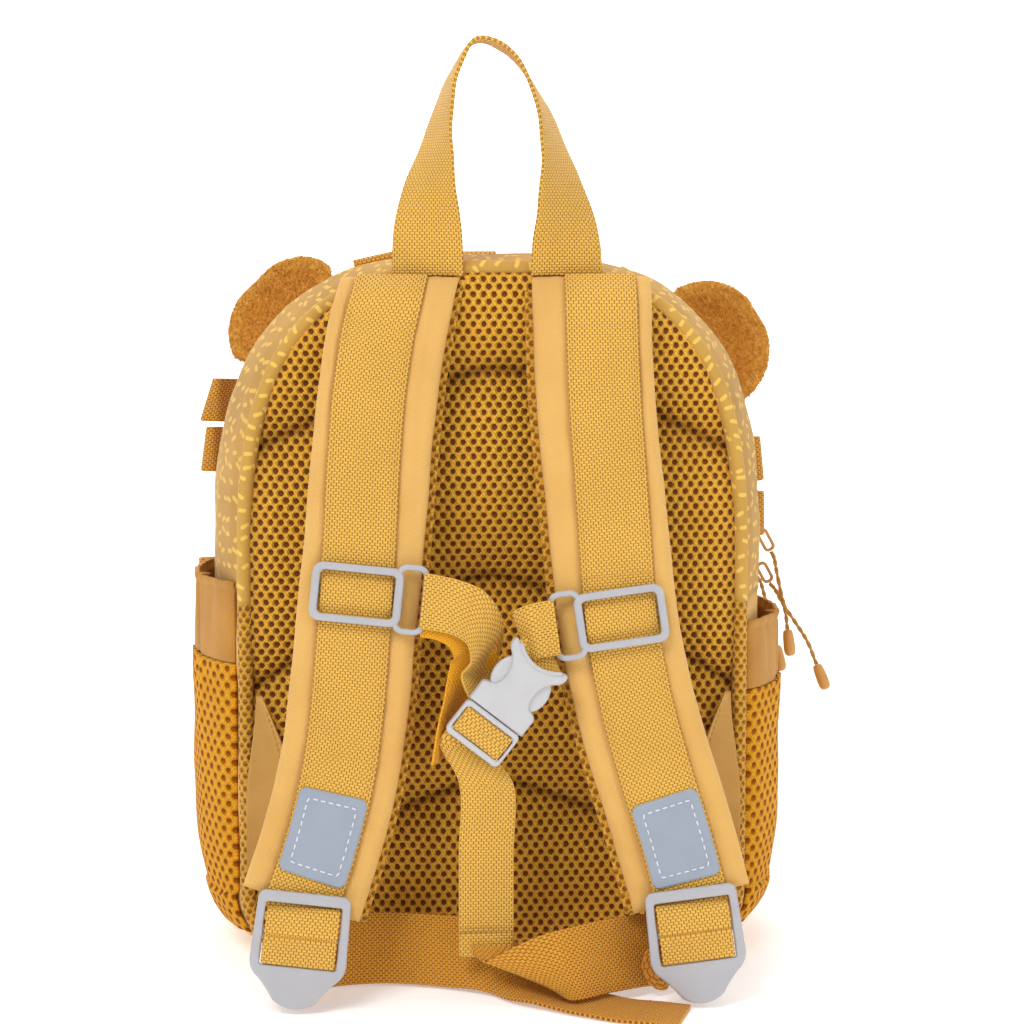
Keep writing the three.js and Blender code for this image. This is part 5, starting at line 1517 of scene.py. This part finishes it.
def wing(side):
    """Folded triangle of cloth with a hem, a row of stitches and a curled lower edge."""
    sign = SIDES[side]
    profile = [(WING_TOP, 0.12), (lerp(WING_TOP, WING_FOOT, 0.3), 0.75),
               (lerp(WING_TOP, WING_FOOT, 0.55), 1.0), (lerp(WING_TOP, WING_FOOT, 0.8), 0.6),
               (WING_FOOT, 0.15)]
    heights = [WING_TOP - (WING_TOP - WING_FOOT) * i / 60 for i in range(61)]
    keys = [p[0] for p in reversed(profile)]
    values = [p[1] for p in reversed(profile)]
    outer, inner, uv, dark = [], [], [], []
    for z in heights:
        reach = float(np.interp(z, keys, values))
        reach = lerp(reach, float(np.interp(z - 3, keys, values)), 0.5)
        front, back, marks = [], [], []
        for j in range(17):
            share = j / 16
            curl = 1.2 * smooth(WING_FOOT + 26 - z, 0, 22) * math.sin(share * math.pi * 1.5) * reach
            ripple = 0.5 * wave(share * 2, z * 0.07, sign) * share
            over = WING_OUT * smooth(WING_TOP - z, 0, 46)
            x = sign * (WING_ROOT + over - share * (over + reach * WING_REACH))
            level = WING_FACE - 4.4 - share * WING_FOLD * reach * 0.7 - curl - ripple
            roll = 0.35 * (share > 0.93)
            front.append((x, level - CLOTH - roll, z))
            back.append((x, level + 0.2, z))
            marks.append((share * reach * WING_REACH, z))
            # Painted shade over the whole wing, deeper towards its root and its lower part.
            dark.append(0.16 + 0.2 * (1 - share) + 0.2 * smooth(WING_FOOT + 30 - z, 0, 26) * (1 - share))
        outer.append(front)
        inner.append(back)
        uv.append(marks)
    cloth = slab(f"wing_cloth_{side}", np.array(outer), np.array(inner), np.array(uv))
    darken(cloth, dark + dark)
    piece(cloth, "plain", "plain_cloth", f"wing_{side}")
    places, normals, along = [], [], []
    for i in range(4, 34):
        grid_row = outer[i + 2]
        places.append(vec(*grid_row[13]) + vec(0, -0.1, 0))
        normals.append(vec(0, -1, 0))
        along.append(vec(*outer[i + 3][13]) - vec(*grid_row[13]))
    piece(stitches(f"wing_stitches_{side}", places[::2], normals[::2], along[::2], 1.6, 0.45), "pull",
          "plain_cloth")


HANDLE_ROWS = [
    (-0.96, 0.00, 0.00),
    (-0.96, 0.16, 0.15),
    (-0.93, 0.38, 0.50),
    (-0.80, 0.60, 0.78),
    (-0.58, 0.86, 0.95),
    (-0.27, 1.00, 1.00),
    (0.18, 0.965, 1.00),
    (0.57, 0.81, 0.93),
    (0.90, 0.52, 0.72),
    (1.03, 0.28, 0.40),
    (1.06, 0.12, 0.12),
    (1.06, 0.00, 0.00),
]


def handle():
    """One loop of webbing whose faces turn sideways at the top."""
    foot = BODY_HEIGHT - TOP_DROP - RIM_RADIUS
    plane = BODY_BACK - 2 * RIM_RADIUS - GAP - WEBBING_THICK / 2
    rows = []
    for i, (span, rise, turn) in enumerate(HANDLE_ROWS):
        angle = turn * math.pi / 2
        sign = 1 if i < len(HANDLE_ROWS) / 2 else -1
        rows.append([vec(span * HANDLE_HALF, plane, lerp(foot, HANDLE_TOP, rise)),
                     vec(sign * math.cos(angle), -math.sin(angle), 0)])
    tape = strip("handle_tape", rows, WEBBING, WEBBING_THICK, 260, 0.35)
    piece(tape, "webbing", "webbing", "handle")


SEAM_DEPTH = BODY_FRONT - 4
TAB_WIDTH, TAB_REACH, TAB_THICK, TAB_FOLD = 20, 17, 1.4, 3.4
TAB_DEPTH = SEAM_DEPTH - TAB_FOLD / 2 - TAB_THICK
MANE = {"mane_top_left": (106.5, 0, 0.66), "mane_top_middle": (90.5, 0, 0.54),
        "mane_top_right": (61, 0, 0.6),
        "mane_left_upper": (156, 0.9, 1.15), "mane_left_lower": (167, 0.8, 0.96),
        "mane_right_upper": (10.2, 0, 1),
        "mane_right_lower": (2.2, 0, 1)}


def seam_place(degrees):
    """Place on the front seam at an angle round the dome, with its directions along and out."""
    cut = section(TAB_DEPTH)
    power = 2 / DOME_POWER

    def at(angle):
        c, s = math.cos(angle), abs(math.sin(angle))
        return vec(math.copysign(abs(c) ** power, c) * cut["half"], SEAM_DEPTH,
                   DOME_START + (cut["top"] - DOME_START) * s ** power)

    turn = math.radians(degrees)
    along = unit(at(turn + 0.05) - at(turn - 0.05))
    return at(turn), along, vec(along[2], 0, -along[0])


def mane():
    """Folded tabs of webbing in the front seam, with painted shade inside them, lighter at the fold."""
    tabs = {}
    for name, (degrees, lean, share) in MANE.items():
        place, along, out = seam_place(degrees)
        tabs[name] = (place, along, unit(lerp(out, vec(np.sign(out[0]), 0, 0), lean)), share)
    tabs["mane_left_foot"] = (vec(-section(TAB_DEPTH)["half"], SEAM_DEPTH, 149), vec(0, 0, 1),
                              vec(-1, 0, 0), 1)
    for name, (place, along, out, share) in tabs.items():
        outer, far = TAB_FOLD / 2, TAB_REACH * share
        rows = [(GAP, -outer), (far * 0.6, -outer), (far * 0.92, -outer * 0.8), (far, 0),
                (far * 0.92, outer * 0.8), (far * 0.6, outer), (GAP, outer)]
        line = [[place + out * reach + vec(0, 1, 0) * fold, along] for reach, fold in rows]
        tape = strip(f"{name}_tape", line, TAB_WIDTH, TAB_THICK, 60)
        stand = [float((np.array(v.co) / MM - place) @ out) / far for v in tape.data.vertices]
        # Painted shade inside the tab, fading out towards the fold.
        darken(tape, [0.72 * (1 - smooth(s, 0.66, 0.84)) for s in stand])
        piece(tape, "shaded_mane_webbing", "webbing", name)


for side_name in SIDES:
    lock(side_name)
    lock_webbing(side_name)
    wing(side_name)
handle()
mane()


# Plush ears.
EAR_WIDTH, EAR_HEIGHT, EAR_THICK, EAR_CUP = 60, 37, 7, 6.5
EAR_SEAT = {"left": 3.2, "right": 0.35}
EAR_DEGREES = {"left": 132.5, "right": 36.5}
EAR_TILT = {"left": 0.85, "right": 0.3}


def fur(name, places, normals, length, width, seed, droop=0.35):
    """Short blades of pile: each a thin triangle leaning its own way."""
    rng = np.random.default_rng(seed)
    count = len(places)
    lean = rng.normal(0, 0.55, (count, 3))
    reach = length * rng.uniform(0.55, 1.15, count)[:, None]
    tips = places + (normals + lean * 0.75 + np.array([0, 0, -droop])) * reach
    side = np.cross(normals, rng.normal(0, 1, (count, 3)))
    side /= np.linalg.norm(side, axis=1)[:, None] + 1e-9
    roots = places - normals * 0.3
    points = np.stack([roots - side * width / 2, roots + side * width / 2, tips], 1).reshape(-1, 3)
    faces = np.arange(count * 3).reshape(-1, 3).tolist()
    return mesh_object(name, points, faces)


def ear(side):
    """Plush ear with a hollow inner face, each covered with short pile."""
    place, along, out = seam_place(EAR_DEGREES[side])
    tilt = EAR_TILT[side]
    rise = out * math.cos(tilt) + vec(0, math.sin(tilt), 0)
    face = -vec(0, math.cos(tilt), 0) + out * math.sin(tilt)
    place = place + vec(0, -EAR_CUP / 2, 0) + rise * EAR_SEAT[side]
    rows, columns = 40, 48

    def wide_at(up):
        return (0.86 + 0.13 * float(smooth(up, 0, 0.3))) * (1 - up ** 2.7) ** (1 / 2.1)

    def grid(level, scale=1.0, lift=0.0, rim=0.0):
        whole = []
        for i in range(rows + 1):
            row = math.sin(i / rows * math.pi / 2) * 0.985
            line = []
            for j in range(columns + 1):
                up = lift + row * scale
                reach = scale * wide_at(row) * math.sin((2 * j / columns - 1) * math.pi / 2)
                across = reach / max(0.3, wide_at(min(up, 0.97)))
                hollow = math.sin(math.pi * min(1, 0.04 + 0.96 * up))
                cup = EAR_CUP * (1 - min(1.0, across * across)) * hollow
                lump = 0.3 * wave(reach * 3, up * 3, 3 + SIDES[side]) + rim * wave(reach * 16, up * 16, 8)
                line.append(place + along * reach * (EAR_WIDTH / 2) + rise * up * EAR_HEIGHT
                            + face * (level(across, up) - cup + lump))
            whole.append(line)
        return np.array(whole)

    def half(across, up):
        edge = max(min(1.0, abs(across)) ** 5, min(1.0, up) ** 5)
        return (EAR_THICK / 2) * math.sqrt(max(0.03, 1 - edge))

    outer, inner = grid(half, rim=0.12), grid(lambda a, u: -half(a, u), rim=0.12)
    flat_uv = np.zeros(outer.shape[:2] + (2,))
    body = slab(f"ear_plush_{side}", outer, inner, flat_uv)
    piece(body, "plush", "plush", f"ear_{side}")
    scale, lift = 0.8, 0.02
    top = grid(lambda a, u: half(a, u) + 0.3, scale, lift)
    under = grid(lambda a, u: half(a, u) - 0.6, scale, lift)
    lining = slab(f"ear_hollow_{side}", top, under, flat_uv)
    piece(lining, "rust", "plush_lining", f"ear_lining_{side}")

    rng = np.random.default_rng(11 + SIDES[side])
    piles = ((f"ear_pile_{side}", body, "plush", "plush", 22000, 1.05),
             (f"ear_hollow_pile_{side}", lining, "rust", "plush_lining", 11000, 0.9))
    for name, cloth, look, slot_name, count, length in piles:
        mesh = cloth.data
        mesh.calc_loop_triangles()
        corners = np.array([[mesh.vertices[v].co[:] for v in t.vertices] for t in mesh.loop_triangles]) / MM
        cross = np.cross(corners[:, 1] - corners[:, 0], corners[:, 2] - corners[:, 0])
        area = np.linalg.norm(cross, axis=1)
        pick = rng.choice(len(area), count, p=area / area.sum())
        a, b = rng.random(count), rng.random(count)
        flip = a + b > 1
        a, b = np.where(flip, 1 - a, a), np.where(flip, 1 - b, b)
        tri = corners[pick]
        spots = tri[:, 0] + a[:, None] * (tri[:, 1] - tri[:, 0]) + b[:, None] * (tri[:, 2] - tri[:, 0])
        normal = cross[pick] / (area[pick][:, None] + 1e-12)
        piece(fur(name, spots, normal, length, 0.42, 5 + count), look, slot_name)


for side_name in SIDES:
    ear(side_name)


# Side pockets.
POCKET_BULGE, POCKET_CLOTH, POCKET_BACK, POCKET_FRONT, POCKET_FOOT = 8.5, 1.6, -47, 44, 12
BAND_HEIGHTS = {"left": (127, 161), "right": (114, 143)}
DEEP_SHADE = 0.17


def pocket(side):
    """Side pocket: bulging mesh with a gathered cloth band above it."""
    sign = SIDES[side]
    low, high = BAND_HEIGHTS[side]

    def surface(share, z, full, fold, inset):
        y = lerp(POCKET_BACK, POCKET_FRONT, share)
        cut = section(y)
        ease = 1.2 if z < cut["base"] + CORNER else 0
        reach = min(cut["half"], half_at(z, cut["half"], cut["base"], BODY_HEIGHT, CORNER)) + ease
        bulge = POCKET_BULGE * max(0.0, math.sin(math.pi * share)) ** 0.55
        stand = reach + GAP + POCKET_CLOTH + bulge * full
        return (sign * (stand + fold - inset), y, z)

    def build(name, heights, columns, full, fold, look, slot_name, node, thick=POCKET_CLOTH):
        outer, inner, uv = [], [], []
        for z in heights:
            outer.append([surface(j / columns, z, full(z), fold(j / columns, z), 0)
                          for j in range(columns + 1)])
            inner.append([surface(j / columns, z, full(z), fold(j / columns, z), thick)
                          for j in range(columns + 1)])
        outer, inner = np.array(outer), np.array(inner)
        run = run_along(outer[len(heights) // 2])
        uv = np.stack(np.broadcast_arrays(run[None, :], np.array(heights)[:, None]), -1)
        cloth = slab(name, outer, inner, uv)
        # Painted shade in the sunken parts of the folds.
        deep = [DEEP_SHADE * max(0.0, -fold(j / columns, z)) for z in heights for j in range(columns + 1)]
        darken(cloth, deep + deep)
        piece(cloth, look, slot_name, node)

    def belly(z):
        share = (z - POCKET_FOOT) / (low - GAP - POCKET_FOOT)
        return math.sin(min(1, share * 2.2 + 0.02) * math.pi / 2)

    def soft(share, z):
        top = smooth(z, low - 26, low)
        folds = 0.7 * math.sin(share * 62) * top * math.sin(math.pi * share)
        return folds + 0.7 * wave(share * 5, z * 0.04, 2 + sign) * math.sin(math.pi * share)

    def gather(share, z):
        rise = (z - low) / (high - low)
        deep = -3.6 * math.exp(-((share - 0.30 - 0.02 * rise) / 0.028) ** 2) * (0.35 + 0.65 * rise)
        beside = (1.5 * math.exp(-((share - 0.235) / 0.03) ** 2)
                  + 1.2 * math.exp(-((share - 0.37) / 0.035) ** 2))
        small = 0.5 * math.sin(share * 70 + 2 * rise) * (0.3 + 0.7 * rise)
        hem_roll = (0.55 * math.exp(-((z - high + 1.2) / 1.3) ** 2)
                    - 0.4 * math.exp(-((z - high + 4.0) / 0.7) ** 2))
        return (deep + beside * rise + small) * math.sin(math.pi * share) ** 0.5 + hem_roll

    heights = [lerp(POCKET_FOOT, low - GAP, i / 90) for i in range(91)]
    build(f"pocket_net_{side}", heights, 84, belly, soft, "pocket_mesh", "air_mesh", f"pocket_mesh_{side}")
    heights = [lerp(low, high, i / 34) for i in range(35)]
    build(f"pocket_cloth_{side}", heights, 150,
          lambda z: 0.84 + 0.06 * math.cos((z - low) / (high - low) * math.pi),
          gather, "pocket", "plain_cloth", f"pocket_band_{side}")


for side_name in SIDES:
    pocket(side_name)


# Zip sliders, rings, cords and grips.
ZIP_SLIDER, RING_WIDTH, RING_BAR, CORD_RADIUS = 7.2, 5.2, 1.3, 0.95
GRIP_LENGTH, GRIP_RADIUS, RING_SWING = 12, 2.6, 0.5
ZIP_PULLS = [
    (17, 172, 11, [(1, -1, -2), (2, -3, -8), (4, -4, -18), (6, -4, -26), (7, -4, -34)]),
    (17, 157, 10, [(2, 0, -2), (6, 0, -9), (12, 0, -18), (17, -1, -26), (21, -2, -36)]),
    (38, 157, 9, [(2, 0, -2), (4, 0, -8), (6, 0, -15), (8, 0, -23), (10, 0, -32)]),
]


def zip_pull(number, y, z, ring, places):
    """Zip slider with a ring, a twisted cord and a moulded grip."""
    length, thick, half = ZIP_SLIDER * 1.65, ZIP_SLIDER * 0.36, ZIP_SLIDER / 2
    surface = max(section(y - length / 2)["half"], section(y + length / 2)["half"]) + GAP
    body = flat_shape("body", [rounded(-half, half, -length / 2, length / 2, half * 0.7, 6)], thick, 0.7)
    bridge = flat_shape("bridge", [rounded(-1.1, 1.1, -3.6, 3.6, 1.0, 5)], 2.2, 0.6)
    slide(bridge, 0, 1.5, 1.6)
    slider_body = seat(join(f"zip_runner_{number}", body, bridge), vec(surface + thick / 2, y, z),
                       vec(0, 1, 0),
                       vec(0, 0, 1))
    piece(slider_body, "pull", "zip_plastic", f"zip_slider_{number}")
    hangs = vec(surface + thick + (RING_WIDTH - RING_BAR) / 2 * math.cos(RING_SWING), y, z + 2)
    down = vec(math.sin(RING_SWING), 0, -math.cos(RING_SWING))
    loop = flat_shape(f"zip_loop_{number}", [
        rounded(-RING_WIDTH / 2, RING_WIDTH / 2, -ring, 0, RING_WIDTH * 0.42, 8),
        rounded(RING_BAR - RING_WIDTH / 2, RING_WIDTH / 2 - RING_BAR, RING_BAR - ring, -RING_BAR,
                RING_BAR * 0.8, 6),
    ], RING_BAR * 1.4, 0.5)
    seat(loop, hangs, vec(math.cos(RING_SWING), 0, math.sin(RING_SWING)), -down)
    piece(loop, "pull", "zip_plastic", f"zip_ring_{number}")

    foot = hangs + down * ring + vec(0, 0, -(CORD_RADIUS / 2 + GAP))
    line = curve([foot] + [foot + vec(*p) for p in places])
    path = [line(i / 60) for i in range(61)]
    run = sum(float(np.linalg.norm(b - a)) for a, b in zip(path, path[1:]))
    strands = []
    for start in (0, math.pi):
        points = []
        for i, p in enumerate(path):
            way = tangent(line, i / 60)
            across = unit(np.cross(way, vec(0, 1, 0)))
            turn = start + i / 60 * run * 0.9
            points.append(p + (across * math.cos(turn)
                               + np.cross(across, way) * math.sin(turn)) * CORD_RADIUS * 0.45)
        strands.append(tube("strand", points, CORD_RADIUS * 0.56, 8, out=(0, 1, 0)))
    cord = piece(join(f"zip_string_{number}", *strands), "zip", "zip_cord", f"zip_cord_{number}")

    end, way = path[-1], unit(path[-1] - path[-2])
    profile = [(0.0, GAP), (0.55, GAP), (0.72, 0.6), (0.84, 1.6), (0.93, 3.5)]
    ends = (1.0, 0.62), (0.98, 0.8), (0.84, 0.92), (0.55, 0.985), (0.0, 1.0)
    profile += [(share, GRIP_LENGTH * rise) for share, rise in ends]
    across = unit(np.cross(way, vec(0, 1, 0)))
    other = np.cross(way, across)
    points, faces = [end + way * GAP], []
    for share, rise in profile[1:-1]:
        for k in range(20):
            turn = k / 20 * 2 * math.pi
            points.append(end + way * rise + (across * math.cos(turn)
                                              + other * math.sin(turn)) * share * GRIP_RADIUS)
    points.append(end + way * GRIP_LENGTH)
    faces = grid_faces(len(profile) - 2, 20, 1, wrap=True)
    last = len(points) - 1
    faces += [(0, 1 + (k + 1) % 20, 1 + k) for k in range(20)]
    faces += [(last, last - 20 + k, last - 20 + (k + 1) % 20) for k in range(20)]
    grip = piece(outward(mesh_object(f"zip_handle_{number}", points, faces)), "pull", "zip_plastic",
                 f"zip_grip_{number}")


for pull_number, pull in enumerate(ZIP_PULLS):
    zip_pull(pull_number + 1, *pull)


# Floor, light and the end.
FLOOR = 3000
BACKDROP = {"half": 6000, "y": 2600, "top": 5000}
SKY = 0.42
LAMPS = [("key", (-0.75, -1.2, 1.6), 0.8, 19), ("fill", (1.2, -1.1, 0.7), 1.2, 6),
         ("top", (0.1, 0.3, 1.7), 0.9, 9)]
LAMP_TARGET = Vector((0, 0, 0.17))


def lit_plane(name, corners, grey, rough, glow):
    """Plane of the studio, pale and partly glowing so that it renders white."""
    plane = mesh_object(name, corners, [(0, 1, 2, 3)])
    material = bpy.data.materials.new(name)
    material.use_nodes = True
    shader = next(n for n in material.node_tree.nodes if n.type == "BSDF_PRINCIPLED")
    for key, value in (("Base Color", (grey, grey, grey, 1)), ("Roughness", rough),
                       ("Emission Color", (1, 1, 1, 1)), ("Emission Strength", glow)):
        shader.inputs[key].default_value = value
    plane.data.materials.append(material)
    return plane


def studio():
    """Pale floor, glowing backdrop, even sky and three soft lamps."""
    wide, deep, tall = BACKDROP["half"], BACKDROP["y"], BACKDROP["top"]
    floor = lit_plane("floor",
                      [(-FLOOR, -FLOOR, 0), (FLOOR, -FLOOR, 0), (FLOOR, FLOOR, 0), (-FLOOR, FLOOR, 0)],
                      0.93, 0.9, 0.32)
    backdrop = lit_plane("backdrop",
                         [(-wide, deep, -200), (wide, deep, -200), (wide, deep, tall), (-wide, deep, tall)],
                         1, 0.5, 1.0)
    world = bpy.data.worlds.new("studio")
    scene.world = world
    world.use_nodes = True
    sky = next(n for n in world.node_tree.nodes if n.type == "BACKGROUND")
    sky.inputs["Color"].default_value = (1, 1, 1, 1)
    sky.inputs["Strength"].default_value = SKY
    for name, place, size, power in LAMPS:
        lamp = bpy.data.lights.new(name, "AREA")
        lamp.energy = power
        lamp.size = size
        light = bpy.data.objects.new(name, lamp)
        light.location = place
        light.rotation_euler = (Vector(place) - LAMP_TARGET).to_track_quat("Z", "Y").to_euler()
        scene.collection.objects.link(light)
    scene.view_settings.view_transform = "Standard"


studio()
